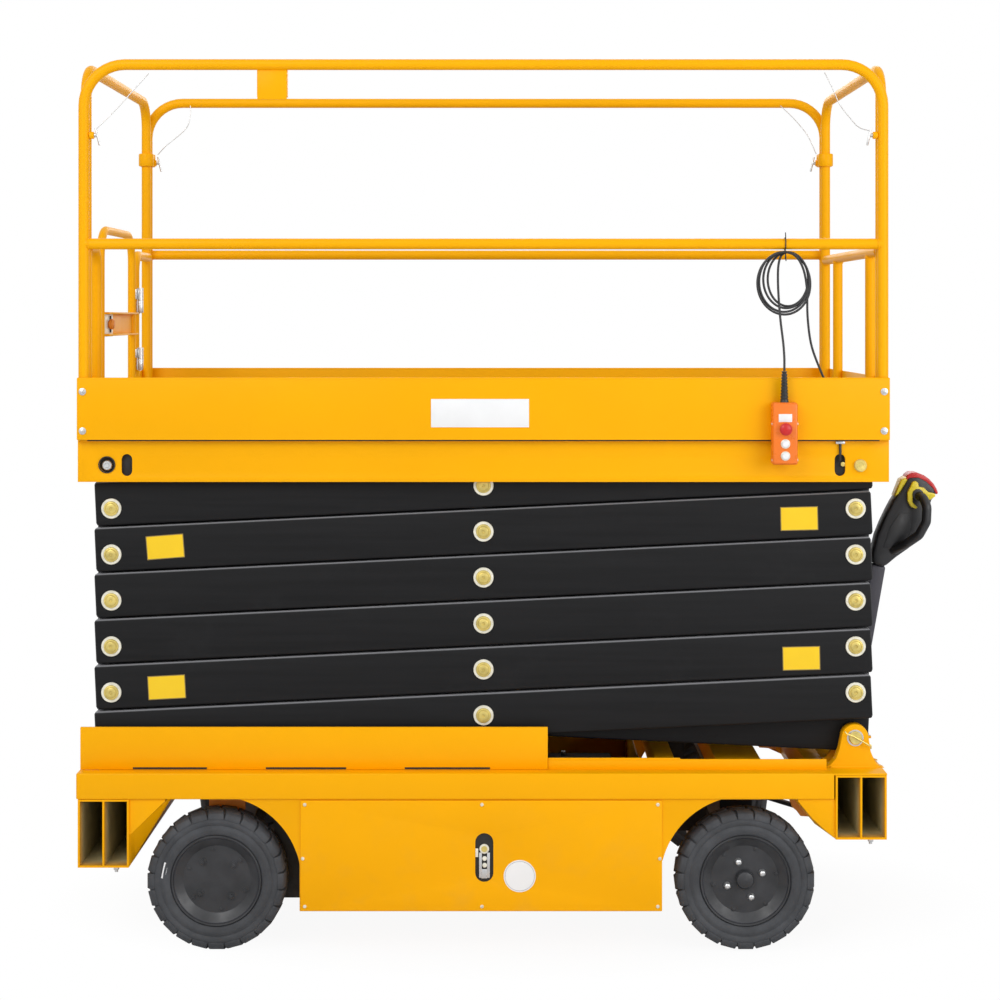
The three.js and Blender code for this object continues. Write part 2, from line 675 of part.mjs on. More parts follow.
function deckFrame() {
  const pieces = [];
  const width = [-SKIRT_Y + 1, SKIRT_Y - 1];
  const endX = DECK_HALF_LONG - 3;
  for (const [, s] of SIDES) {
    const skirt = span(s, [SKIRT_Y - SKIRT_THICK, SKIRT_Y]);
    pieces.push(box([-endX, endX], skirt, SKIRT_Z));
    const trackBottom = TOP_PIN_Z + ROLLER_R + ROLLER_CLEAR;
    pieces.push(
      box(TOP_TRACK_X, span(s, [OUTER_ARM_Y - ARM_IN, SKIRT_Y - 1]), [trackBottom, trackBottom + 8]),
      box(TOP_TRACK_X, span(s, [SKIRT_Y - 20, SKIRT_Y - 1]), [trackBottom, BEARER_TOP_Z[1]]),
    );
    const hanger = plate(
      [
        [HALF_SPAN - 60, BEARER_TOP_Z[0] + 2],
        [HALF_SPAN - 40, TOP_PIN_Z - 40],
        [HALF_SPAN + 40, TOP_PIN_Z - 40],
        [HALF_SPAN + 60, BEARER_TOP_Z[0] + 2],
      ],
      span(s, CHEEK_Y),
    );
    pieces.push(cut(hanger, [crossHole(HALF_SPAN, TOP_PIN_Z, [-600, 600], SHAFT_R)]));
    for (const x of [-HALF_SPAN, HALF_SPAN]) {
      pieces.push(crossBar(x, TOP_PIN_Z, span(s, [SKIRT_Y - 1, SKIRT_Y + 9]), BOSS_R));
    }
  }
  for (const x of [-endX + 25, -720, -240, 240, 720, HALF_SPAN, endX - 25]) {
    const wide = about(x, x === HALF_SPAN ? 120 : 50);
    pieces.push(box(wide, width, BEARER_TOP_Z));
    pieces.push(box(wide, [-BEARER_DEEP_Y, BEARER_DEEP_Y], BEARER_DEEP_Z));
  }
  for (const s of [-1, 1]) {
    pieces.push(box(s > 0 ? [endX - 6, endX] : [-endX, -endX + 6], width, [SKIRT_Z[0] + 72, SKIRT_Z[1]]));
  }
  // flat rim flush with the deck plate
  const rim = cut(
    box([-DECK_HALF_LONG, DECK_HALF_LONG], [-DECK_HALF_WIDE, DECK_HALF_WIDE], [SKIRT_Z[1] - 3, DECK_TOP]),
    [
      box(
        [-DECK_HALF_LONG + DECK_BORDER, DECK_HALF_LONG - DECK_BORDER],
        [-DECK_HALF_WIDE + DECK_BORDER, DECK_HALF_WIDE - DECK_BORDER],
        [SKIRT_Z[0], DECK_TOP + 1],
      ),
    ],
  );
  return join([...pieces, rim]);
}
add("deck_frame", deckFrame(), YELLOW);

const toeIn = DECK_HALF_WIDE + GAP;
const toeOut = toeIn + TOE_THICK;
const toeEnd = DECK_HALF_LONG + GAP;
const gateMouth = END_RAIL_Y - 140;
function toeBoards() {
  const outer = box([-toeEnd - TOE_THICK, toeEnd + TOE_THICK], [-toeOut, toeOut], TOE_Z);
  const inner = box([-toeEnd, toeEnd], [-toeIn, toeIn], [TOE_Z[0] - 10, TOE_Z[1] + 10]);
  // the board stays low under the gate
  const mouth = box([-toeEnd - 20, -toeEnd + 20], [-gateMouth, gateMouth], [DECK_TOP + 4, TOE_Z[1] + 10]);
  return cut(outer, [inner, mouth]);
}
add("toe_boards", toeBoards(), YELLOW);

// ---------------------------------------------------------------- guard rails
const footZ = DECK_TOP + GAP;
const rail = (from, to, radius = RAIL_R) => bar(from, to, radius, TUBE_SIDES);
function sideRails(s) {
  const y = s * SIDE_RAIL_Y;
  const loop = bentTube(
    [[-RAIL_X, y, footZ], [-RAIL_X, y, TOP_RAIL_Z], [RAIL_X, y, TOP_RAIL_Z], [RAIL_X, y, footZ]],
    SIDE_BEND,
    RAIL_R,
  );
  const pieces = [loop, rail([-RAIL_X, y, MID_RAIL_Z], [RAIL_X, y, MID_RAIL_Z])];
  if (s < 0) pieces.push(box([-676, -592], about(y, 6), [TOP_RAIL_Z - RAIL_R - 84, TOP_RAIL_Z - RAIL_R + 3]));
  return join(pieces);
}
for (const [side, s] of SIDES) {
  add(`guard_rail_${side}`, sideRails(s), YELLOW);
}

const endLoop = (x) =>
  bentTube(
    [[x, -END_RAIL_Y, footZ], [x, -END_RAIL_Y, END_RAIL_Z], [x, END_RAIL_Y, END_RAIL_Z], [x, END_RAIL_Y, footZ]],
    END_BEND,
    RAIL_R,
  );
add(
  "guard_rail_front_end",
  join([
    endLoop(RAIL_X),
    rail([RAIL_X, -END_RAIL_Y, MID_RAIL_Z - 20], [RAIL_X, END_RAIL_Y, MID_RAIL_Z - 20]),
    ...END_LEG_Y.map((y) => rail([RAIL_X, y, footZ], [RAIL_X, y, MID_RAIL_Z - 20])),
  ]),
  YELLOW,
);

const hingeZ = [[1772, 1846], [1950, 2024]];
const HINGE_R = 11;
const leafX = [-RAIL_X + 9, GATE_HINGE_X];
function gateEnd() {
  const pieces = [endLoop(-RAIL_X)];
  GATE_POST_Y.forEach((y, i) => {
    const corner = i ? END_RAIL_Y : -END_RAIL_Y;
    pieces.push(rail([-RAIL_X, y, footZ], [-RAIL_X, y, MID_RAIL_Z + 10]));
    pieces.push(rail([-RAIL_X, y, MID_RAIL_Z - 20], [-RAIL_X, corner, MID_RAIL_Z - 20]));
  });
  // lower half of each hinge: a barrel on the post with the pin standing up
  for (const [z0, z1] of hingeZ) {
    const mid = (z0 + z1) / 2;
    pieces.push(bar([GATE_HINGE_X, GATE_HINGE_Y, z0], [GATE_HINGE_X, GATE_HINGE_Y, mid - GAP], HINGE_R));
    pieces.push(bar([GATE_HINGE_X, GATE_HINGE_Y, z0], [GATE_HINGE_X, GATE_HINGE_Y, z1 - 4], 5));
    pieces.push(box(leafX, [GATE_HINGE_Y, GATE_POST_Y[1] - 3], [z0 + 4, mid - 4]));
  }
  return join(pieces);
}
add("guard_rail_gate_end", gateEnd(), YELLOW);

function gate() {
  const [y0, y1] = GATE_Y;
  const x = -RAIL_X;
  const sill = footZ + 60;
  const pieces = [
    bentTube([[x, y0, sill], [x, y0, GATE_TOP], [x, y1, GATE_TOP], [x, y1, sill]], 90, GATE_TUBE_R),
    bar([x, y0, sill + 12], [x, y1, sill + 12], GATE_TUBE_R, TUBE_SIDES),
    box(about(x, 5), [y0 + 5, y1 - 5], [1842, 1917]),
    box([x - 10, x - 5], [y0 - 8, y1 + 8], [DECK_TOP + 10, GATE_KICK_TOP]),
    box([x - 8, x], [y0 + 10, y1 - 10], [sill + 5, sill + 20]),
  ];
  for (const [z0, z1] of hingeZ) {
    const mid = (z0 + z1) / 2;
    const knuckle = cut(
      join([
        bar([GATE_HINGE_X, GATE_HINGE_Y, mid], [GATE_HINGE_X, GATE_HINGE_Y, z1], HINGE_R),
        box(leafX, [y1 - 3, GATE_HINGE_Y], [mid + 4, z1 - 4]),
      ]),
      [hole([GATE_HINGE_X, GATE_HINGE_Y, mid - 1], [GATE_HINGE_X, GATE_HINGE_Y, z1 + 1], 5)],
    );
    pieces.push(knuckle);
  }
  return join(pieces);
}
add("entry_gate", gate(), YELLOW);
add(
  "gate_latch",
  join([
    box([-RAIL_X - 2.5 - GAP - 5, -RAIL_X - 2.5 - GAP], [GATE_Y[0] + 20, GATE_Y[0] + 190], [1840, 1918]),
    bar([-RAIL_X - 6, -250, 1879], [-RAIL_X - 34, -250, 1879], 14, 16),
  ]),
  ZINC,
);

// ---------------------------------------------------------------- hand control and cable
const handY = [-toeOut - GAP - HAND_SIZE[1], -toeOut - GAP];
const handMid = (handY[0] + handY[1]) / 2;
const bootTop = HAND_Z[1] + 93;
add(
  "hand_control",
  join([
    box(about(HAND_X, HAND_SIZE[0]), handY, HAND_Z),
    bar([HAND_X, handMid, HAND_Z[1] - 2], [HAND_X, handMid, bootTop], 12, 16, 8),
  ]),
  ORANGE,
);

const [coilX, coilY, coilZ] = COIL_CENTRE;
const [coilA, coilB] = COIL_RADII;
function coil() {
  const ring = new THREE.TorusGeometry(1, COIL_BUNDLE_R / coilA, 8, 20);
  ring.rotateX(Math.PI / 2);
  ring.scale(coilA, coilA, coilB);
  return solid(ring);
}
const coilMesh = add("cable_coil", coil(), BLACK);
coilMesh.position.set(coilX, coilY, coilZ);
const coilLow = coilZ - coilB - COIL_BUNDLE_R;
add(
  "cable_to_handset",
  cable(
    [
      [HAND_X, handMid, bootTop + GAP],
      [HAND_X, handMid, bootTop + 60],
      [HAND_X + 3, handMid + 22, (bootTop + coilLow) / 2 + 20],
      [coilX - 6, coilY, coilLow - 40],
      [coilX - 6, coilY, coilLow - GAP],
    ],
    14,
  ),
  BLACK,
);
const glandX = 1040;
const glandY = -558;
const glandTop = DECK_TOP + GAP + 45;
add(
  "cable_gland",
  join([
    bar([glandX, glandY, DECK_TOP + GAP], [glandX, glandY, DECK_TOP + GAP + 25], 17, 6),
    bar([glandX, glandY, DECK_TOP + GAP + 20], [glandX, glandY, glandTop], 12, 12, 8),
  ]),
  BLACK,
);
add(
  "cable_to_deck",
  cable(
    [
      [coilX + 40, coilY, coilLow + 1],
      [coilX + 44, coilY + 1, coilLow - 40],
      [coilX + 62, coilY + 4, coilLow - 110],
      [coilX + 98, coilY + 8, 1745],
      [glandX - 2, glandY, 1690],
      [glandX, glandY, glandTop + 40],
      [glandX, glandY, glandTop + GAP],
    ],
    24,
  ),
  BLACK,
);

// ---------------------------------------------------------------- tiller
const turret = join([
  bar([TILLER_X, 0, BEAM_Z[1] + TILLER_SEAT_THICK + GAP], [TILLER_X, 0, BEAM_Z[1] + 22], 40),
  ...SIDES.map(([, s]) =>
    box(
      about(TILLER_X, 44),
      span(s, [TILLER_WIDE / 2 + 1, TILLER_WIDE / 2 + 11]),
      [BEAM_Z[1] + 18, TILLER_PIVOT_Z + 22],
    ),
  ),
  crossBar(TILLER_X, TILLER_PIVOT_Z, [-TILLER_WIDE / 2 - 12, TILLER_WIDE / 2 + 12], 10),
  bar([TILLER_X, 0, BEAM_Z[1] + 4], [TILLER_X, 0, BEAM_Z[1] + 24], 20),
]);
add("tiller_turret", turret, YELLOW);

const tiller = new THREE.Group();
tiller.position.set(TILLER_X, 0, TILLER_PIVOT_Z);
tiller.rotation.y = TILLER_LEAN * RAD;
machine.add(tiller);
const half = TILLER_WIDE / 2;
add(
  "tiller_column",
  cut(
    join([
      box([-half, half], [-half, half], [0, TILLER_LONG]),
      crossBar(0, 0, [-half, half], half - 1),
    ]),
    [crossHole(0, 0, [-half - 1, half + 1], 10)],
  ),
  CHARCOAL,
  tiller,
);
// The head's outlines are upright, measured from the top of the column.
const head = new THREE.Group();
head.position.set(0, 0, TILLER_LONG + GAP);
head.rotation.y = -TILLER_LEAN * RAD;
tiller.add(head);
const housing = [
  [-27, 5.2], [27, -4.5], [80, 56], [122, 110], [133, 188], [123, 245], [94, 257], [40, 189], [-11, 52],
];
function handleLoop(s) {
  const y = HANDLE_HALF_WIDE;
  return bentTube(
    [
      [50, s * 30, 52],
      [118, s * y, 76],
      [178, s * y, 150],
      [176, s * y, 222],
      [104, s * 36, 232],
    ],
    30,
    HANDLE_R,
    TUBE_SIDES,
    3,
  );
}
add(
  "tiller_head",
  join([plate(housing, [-HEAD_HALF_WIDE, HEAD_HALF_WIDE]), ...SIDES.map(([, s]) => handleLoop(s))]),
  BLACK,
  head,
);
for (const [side, s] of SIDES) {
  const ys = span(s, [HEAD_HALF_WIDE + GAP, HEAD_HALF_WIDE + 26]);
  add(`tiller_throttle_${side}`, plate([[86, 186], [116, 164], [140, 182], [116, 194], [102, 208]], ys), YELLOW, head);
}
add(
  "tiller_button",
  plate(
    [[94.5, 257.7], [123.7, 245.7], [133.7, 188.4], [160, 200], [203, 225], [165, 272], [122, 298], [91, 278]],
    [-HEAD_HALF_WIDE + 14, HEAD_HALF_WIDE - 14],
  ),
  paint(0xb01818, 0.4, 0),
  head,
);

export default machine;
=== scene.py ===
import json
import math

import bmesh
import bpy
from bpy.props import (
    BoolProperty, FloatProperty, FloatVectorProperty, IntProperty, PointerProperty,
)
from mathutils import Matrix, Vector

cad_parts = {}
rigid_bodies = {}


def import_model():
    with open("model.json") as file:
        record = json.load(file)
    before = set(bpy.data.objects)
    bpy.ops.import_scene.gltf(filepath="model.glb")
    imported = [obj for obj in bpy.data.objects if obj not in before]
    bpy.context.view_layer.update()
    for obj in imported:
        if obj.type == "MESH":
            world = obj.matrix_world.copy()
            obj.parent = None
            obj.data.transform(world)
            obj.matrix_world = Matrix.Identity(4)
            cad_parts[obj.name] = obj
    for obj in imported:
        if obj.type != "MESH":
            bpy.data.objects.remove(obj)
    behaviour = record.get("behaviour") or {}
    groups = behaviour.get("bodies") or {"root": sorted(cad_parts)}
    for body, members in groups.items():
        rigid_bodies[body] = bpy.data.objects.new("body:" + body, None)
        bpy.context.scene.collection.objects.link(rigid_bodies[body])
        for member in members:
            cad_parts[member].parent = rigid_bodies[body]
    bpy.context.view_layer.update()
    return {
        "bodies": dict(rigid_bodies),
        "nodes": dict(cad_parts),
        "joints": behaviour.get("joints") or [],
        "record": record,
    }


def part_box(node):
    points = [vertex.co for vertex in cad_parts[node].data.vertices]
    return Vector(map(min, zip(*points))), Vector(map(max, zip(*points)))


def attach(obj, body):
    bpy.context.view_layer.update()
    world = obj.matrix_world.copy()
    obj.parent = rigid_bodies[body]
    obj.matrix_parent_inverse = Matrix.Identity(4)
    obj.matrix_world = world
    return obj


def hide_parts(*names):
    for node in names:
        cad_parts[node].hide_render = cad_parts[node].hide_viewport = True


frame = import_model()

bl_info = {
    "name": "Scissor Lift",
    "version": (1, 0, 0),
    "blender": (4, 5, 0),
    "location": "View3D > Sidebar > Scissor Lift",
    "description": "Dresses the six-stage scissor lift with its finished pieces and materials",
    "category": "Object",
}

# ------------------------------------------------------------------ layout of the frame
# Sizes below are in millimetres from the machine's middle; PLACE carries them to the frame.
MIDDLE_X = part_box("base_frame")[0][0] + 1.218
PLACE = Matrix.Translation((MIDDLE_X, 0.0, 0.0)) @ Matrix.Scale(0.001, 4)

STAGES = 6
ARM_PITCH = 2258.2
STAGE_RISE = 139.2
ARM_ANGLE = math.asin(STAGE_RISE / ARM_PITCH)
BAR_LEAN = Matrix.Rotation(math.radians(0.78), 4, "Y")
ARM_HEIGHT = 132.0
ARM_THICK = 45.0
ARM_PAST_PIN = 48.0
OUTER_ARM_Y = 502.5
INNER_ARM_Y = 447.5
LOW_PIN_Z = 626.0
HALF_PITCH = ARM_PITCH / 2
HALF_SPAN = HALF_PITCH * math.cos(ARM_ANGLE)
TOP_PIN_Z = LOW_PIN_Z + STAGES * STAGE_RISE
SIDES = (("near", -1), ("far", 1))
WHEEL_R = 211.0
WHEEL_Y = 540.0
REAR_WHEEL_X = -801.0
FRONT_WHEEL_X = 786.0
DECK_TOP = 1560.0
RAIL_X = 1203.0
SIDE_RAIL_Y = 561.0
END_RAIL_Y = 527.0
TOP_RAIL_Z = 2662.0
END_RAIL_Z = 2657.0
MID_RAIL_Z = 2122.0
GATE_Y = (-330.0, 211.0)
GATE_TOP = 2176.0
GATE_HINGE_Y = 238.0
GATE_X = -1198.0
HINGE_X = GATE_X + 24.0
GATE_POST_Y = (-392.0, 266.0)
BEAM_Z = (459.0, 537.0)
SKIRT_Z = (1407.0, 1553.7)
HEAD_EYE = (-750.0, 140.0)
FOOT_PIN_X = 250.0
CROSS_TUBE_X = 950.0
ARM_FACE = OUTER_ARM_Y + ARM_THICK / 2
ARM_INSIDE = INNER_ARM_Y - ARM_THICK / 2
BOX_TOP = 458.7
SLEEVE_Z = 2455.0
HINGE_Z = ((1722.0, 1797.0), (1916.0, 2000.0))

HAND_X = 900.0
HAND_Z = (1461.0, 1647.0)
HAND_Y = (-629.6, -583.6)
BOOT_TOP = 1740.0
CABLE_R = 3.5
GLAND_X, GLAND_Y, GLAND_TOP = 1040.0, -558.0, 1605.3
COIL_X, COIL_Y, COIL_TOP = 910.0, -568.0, 2098.0
# each turn's half width, half height, middle and place across the machine
COIL_LOOPS = (
    (88.0, 96.0, 0.0, -7.0), (76.0, 93.0, -7.0, 3.0), (72.0, 88.0, -1.0, -2.0), (61.0, 82.0, 7.0, 8.0),
)
LANYARD_R = 1.4

TILLER_X = 1205.0
TILLER_PIVOT_Z = 592.0
TILLER_LEAN = math.radians(10)
TILLER_LONG = 505.0

AXIS_TURN = {
    "X": Matrix.Rotation(math.radians(90), 4, "Y"),
    "Y": Matrix.Rotation(math.radians(-90), 4, "X"),
    "Z": Matrix.Identity(4),
}
FACE_OUT = {-1: (math.radians(90), 0.0, 0.0), 1: (math.radians(-90), 0.0, 0.0)}  # +z to -y, +z to +y


# ------------------------------------------------------------------ settings a user may change
class LiftColours(bpy.types.PropertyGroup):
    """Colours of the scissor lift"""

    body: FloatVectorProperty(
        name="Body paint", description="Powder coat of the chassis, deck and rails",
        default=(0.97, 0.44, 0.0), min=0.0, max=1.0, subtype="COLOR",
    )
    arms: FloatVectorProperty(
        name="Arm paint", description="Paint of the scissor arms and running gear",
        default=(0.0085, 0.0085, 0.009), min=0.0, max=1.0, subtype="COLOR",
    )
    rubber: FloatVectorProperty(
        name="Tyre rubber", description="Solid rubber of the tyres",
        default=(0.036, 0.038, 0.042), min=0.0, max=1.0, subtype="COLOR",
    )
    plating: FloatVectorProperty(
        name="Pin plating", description="Passivated zinc on the pivot pins",
        default=(0.68, 0.54, 0.16), min=0.0, max=1.0, subtype="COLOR",
    )
    control: FloatVectorProperty(
        name="Hand control", description="Moulded shell of the hand control",
        default=(0.93, 0.20, 0.012), min=0.0, max=1.0, subtype="COLOR",
    )


class LiftSizes(bpy.types.PropertyGroup):
    """Sizes of the finished pieces"""

    rail_radius: FloatProperty(
        name="Rail radius", description="Radius of the guard rail tubes",
        default=0.0165, min=0.01, max=0.03, unit="LENGTH",
    )
    rail_sides: IntProperty(
        name="Rail sides", description="Faces round a rail tube", default=20, min=8, max=48,
    )
    tread_lugs: IntProperty(
        name="Tread lugs", description="Lugs round each shoulder of a tyre", default=24, min=12, max=60,
    )
    lug_depth: FloatProperty(
        name="Lug depth", description="Depth of the tyre tread", default=0.007, min=0.002, max=0.02,
        unit="LENGTH",
    )
    screw_radius: FloatProperty(
        name="Screw radius", description="Radius of the panel screw heads", default=0.0055, min=0.002,
        max=0.02, unit="LENGTH",
    )
    paint_grain: FloatProperty(
        name="Paint grain", description="Size of the powder coat's grain", default=0.0016,
        min=0.0004, max=0.01, unit="LENGTH",
    )
    show_tether: BoolProperty(
        name="Pin lanyards", description="Wire lanyards that hold the rail pins", default=True,
    )


def colour(name):
    return tuple(getattr(bpy.context.scene.lift_colours, name))


def sizes():
    return bpy.context.scene.lift_sizes


# ------------------------------------------------------------------ nodes and materials
class Nodes:
    """A node tree that is made step by step."""

    def __init__(self, tree):
        self.tree = tree

    def feed(self, socket, source):
        """Gives an input another node's output, or a plain value."""
        if hasattr(source, "is_linked"):
            self.tree.links.new(source, socket)
        elif socket.type == "RGBA":
            socket.default_value = (*source, 1.0)
        else:
            socket.default_value = source

    def node(self, kind, inputs=(), **settings):
        made = self.tree.nodes.new(kind)
        for key, value in settings.items():
            setattr(made, key, value)
        for socket, source in dict(inputs).items():
            self.feed(made.inputs[socket], source)
        return made

    def sums(self, operation, *values):
        return self.node("ShaderNodeMath", dict(enumerate(values)), operation=operation).outputs[0]

    def mixed(self, share, first, second):
        """Either of two shaders."""
        inputs = {0: share, 1: first.outputs[0], 2: second.outputs[0]}
        return self.node("ShaderNodeMixShader", inputs).outputs[0]


class Recipe(Nodes):
    """One material's nodes."""

    def __init__(self, name):
        self.material = bpy.data.materials.new(name)
        self.material.use_nodes = True
        super().__init__(self.material.node_tree)
        self.shader = self.tree.nodes["Principled BSDF"]
        self.where = self.node("ShaderNodeTexCoord").outputs["Object"]

    def put(self, **values):
        for key, value in values.items():
            self.feed(self.shader.inputs[key.replace("_", " ")], value)
        return self

    def noise(self, scale, detail=3.0, rough=0.55, stretch=None):
        where = self.where
        if stretch:
            where = self.node("ShaderNodeMapping", {"Vector": where, "Scale": stretch}).outputs["Vector"]
        inputs = {"Vector": where, "Scale": scale, "Detail": detail, "Roughness": rough}
        return self.node("ShaderNodeTexNoise", inputs).outputs["Fac"]

    def levels(self, value, low, high, out_low=0.0, out_high=1.0):
        inputs = {"Value": value, "From Min": low, "From Max": high, "To Min": out_low, "To Max": out_high}
        return self.node("ShaderNodeMapRange", inputs).outputs["Result"]

    def mix(self, share, first, second):
        return self.node("ShaderNodeMix", {0: share, 6: first, 7: second}, data_type="RGBA").outputs[2]

    def along(self, vector, axis):
        return self.node("ShaderNodeSeparateXYZ", {"Vector": vector}).outputs[axis]

    def relief(self, height, strength, distance):
        bump = self.node("ShaderNodeBump", {"Height": height, "Strength": strength, "Distance": distance})
        return self.put(Normal=bump.outputs["Normal"])


def shade(colour, factor):
    return tuple(min(1.0, channel * factor) for channel in colour)


def drifting(name, tones, drift, shine, grain=None, rough=0.55, most=1.0, **settings):
    """A finish that drifts between two tones, with an uneven shine and perhaps a fine grain.

    drift is the tones' noise: scale, detail and perhaps limits. shine is the roughness: scale, detail, low
    and high. grain is the relief: scale, detail, strength and distance.
    """
    r = Recipe(name)
    share = r.noise(*drift[:2], rough)
    if drift[2:]:
        share = r.levels(share, *drift[2:], 0.0, most)
    r.put(Base_Color=r.mix(share, *tones), Roughness=r.levels(r.noise(*shine[:2]), 0.3, 0.7, *shine[2:]))
    if grain:
        r.relief(r.noise(*grain[:2]), *grain[2:])
    return r.put(**settings).material


def powder_coat():
    """Semi-gloss powder coat with a faint orange peel, uneven film and road dust low down."""
    r = Recipe("powder_coat")
    body = colour("body")
    film = r.mix(r.levels(r.noise(2.3, 4.0), 0.3, 0.7), shade(body, 0.955), body)
    low = r.levels(r.along(r.where, "Z"), 0.52, 0.1, 0.0, 0.08)
    patch = r.levels(r.noise(11.0, 5.0, 0.65), 0.5, 0.72)
    r.put(Base_Color=r.mix(r.sums("MULTIPLY", low, patch), film, (0.45, 0.30, 0.13)),
          Roughness=r.levels(r.noise(7.0, 5.0), 0.3, 0.75, 0.33, 0.46))
    r.relief(r.noise(1.0 / sizes().paint_grain, 2.0), 0.05, 0.0004)
    return r.put(Specular_IOR_Level=0.12).material


def arm_paint():
    """Satin black paint on rolled tube: faint drawing marks, and a pale grey on what faces up, partly dust
    and partly a painted highlight along the top edges.
    """
    r = Recipe("arm_paint")
    arms = colour("arms")
    drawn = r.noise(9.0, 4.0, 0.6, stretch=(0.25, 1.0, 6.0))
    rubbed = r.levels(r.noise(5.0, 6.0, 0.7), 0.58, 0.8, 0.0, 0.5)
    base = r.mix(r.levels(drawn, 0.35, 0.7), arms, shade(arms, 1.45))
    base = r.mix(rubbed, base, shade(arms, 2.0))
    # painted highlight and dust: a lighter grey where the surface faces up
    upward_highlight_and_dust = r.along(r.node("ShaderNodeNewGeometry").outputs["Normal"], "Z")
    r.put(Base_Color=r.mix(r.levels(upward_highlight_and_dust, 0.35, 0.92), base, (0.30, 0.30, 0.31)),
          Roughness=r.levels(drawn, 0.3, 0.7, 0.45, 0.6))
    r.relief(r.noise(520.0, 2.0), 0.08, 0.0004)
    return r.put(Specular_IOR_Level=0.15).material


def rim_paint():
    """Dark grey wheel enamel with a cast grain."""
    return drifting("rim_paint", ((0.016, 0.017, 0.019), (0.035, 0.036, 0.04)), (14.0, 4.0, 0.35, 0.7),
                    (30.0, 3.0, 0.32, 0.5), (300.0, 2.0, 0.1, 0.0005))


def tyre_rubber():
    """Solid industrial rubber: dull, dusty on the flanks, with a fine moulded grain."""
    rubber = colour("rubber")
    return drifting("tyre_rubber", (rubber, shade(rubber, 2.8)), (8.0, 6.0, 0.42, 0.75),
                    (22.0, 4.0, 0.62, 0.82), (650.0, 3.0, 0.18, 0.0005), rough=0.7, most=0.5)


def pin_plating():
    """Yellow passivated zinc with a turned face."""
    plating = colour("plating")
    return drifting("pin_plating", (shade(plating, 0.8), shade(plating, 1.2)), (38.0, 4.0, 0.3, 0.7),
                    (120.0, 2.0, 0.28, 0.42), Metallic=0.55)


def pale_washer():
    """Cream painted steel washers, a little scuffed."""
    return drifting("pale_washer", ((0.72, 0.69, 0.56), (0.92, 0.89, 0.76)), (45.0, 4.0, 0.35, 0.7),
                    (80.0, 2.0, 0.3, 0.45), Metallic=0.25)


def bright_steel():
    """Bright zinc plating on bolts, nuts and hinge barrels."""
    return drifting("bright_steel", ((0.52, 0.53, 0.54), (0.72, 0.72, 0.71)), (60.0, 3.0),
                    (90.0, 2.0, 0.24, 0.4), Metallic=0.9)


def rod_chrome():
    """Hard chrome on the cylinder rods, ground lengthwise."""
    r = Recipe("rod_chrome")
    r.put(Base_Color=r.mix(r.noise(25.0, 2.0), (0.78, 0.79, 0.8), (0.86, 0.87, 0.88)), Metallic=1.0)
    return r.put(Roughness=r.levels(r.noise(140.0, 2.0, 0.5, (0.1, 1.0, 1.0)), 0.3, 0.7, 0.07, 0.16)).material


def moulded_black():
    """Grained black plastic of the tiller head, plugs and caps."""
    return drifting("moulded_black", ((0.010, 0.010, 0.011), (0.022, 0.022, 0.024)), (16.0, 3.0),
                    (40.0, 3.0, 0.36, 0.5), (900.0, 1.0, 0.15, 0.0003))


def pocket_paint():
    """Inside of an outrigger pocket in painted shade: the body colour darkened at the mouth, turning to an
    olive steel colour further in.
    """
    r = Recipe("pocket_paint")
    # painted shade: darker body colour at the mouth, then a dim steel colour deeper inside the pocket
    inward = r.levels(r.sums("ABSOLUTE", r.along(r.where, "Y")), 0.605, 0.545)
    steel = r.mix(r.noise(18.0, 4.0), (0.34, 0.31, 0.17), (0.66, 0.56, 0.30))
    r.put(Base_Color=r.mix(inward, shade(colour("body"), 0.6), steel))
    return r.put(Roughness=r.levels(r.noise(40.0, 2.0), 0.3, 0.7, 0.6, 0.8), Specular_IOR_Level=0.15).material


def shadowed_steel():
    """Painted shade: near-black steel that stands in for the shadow in slots, openings, gaps and the spaces
    behind parts.
    """
    return drifting("pocket_dark", ((0.006, 0.006, 0.006), (0.018, 0.017, 0.015)), (30.0, 4.0),
                    (50.0, 2.0, 0.6, 0.8))


def cable_sheath():
    """Matt black rubber sheath."""
    return drifting("cable_sheath", ((0.011, 0.011, 0.012), (0.024, 0.024, 0.026)), (40.0, 3.0),
                    (80.0, 2.0, 0.45, 0.6), (1200.0, 2.0, 0.1, 0.0002))


def moulded(name, tone, low=0.24, high=0.38):
    """Smooth moulded plastic in one colour, with faint flow marks."""
    return drifting(name, (shade(tone, 0.9), tone), (18.0, 3.0, 0.3, 0.7), (50.0, 3.0, low, high),
                    (700.0, 1.0, 0.06, 0.0003))


def checker_plate():
    """Rolled floor plate, worn bright where feet tread."""
    return drifting("checker_plate", ((0.30, 0.30, 0.30), (0.46, 0.46, 0.45)), (3.0, 6.0, 0.4, 0.7),
                    (25.0, 4.0, 0.3, 0.5), (400.0, 2.0, 0.12, 0.0004), rough=0.65, Metallic=0.85)


def blank_label(name, tone):
    """Printed vinyl left plain."""
    return drifting(name, (shade(tone, 0.96), tone), (12.0, 3.0, 0.3, 0.7), (40.0, 2.0, 0.3, 0.4), IOR=1.46)


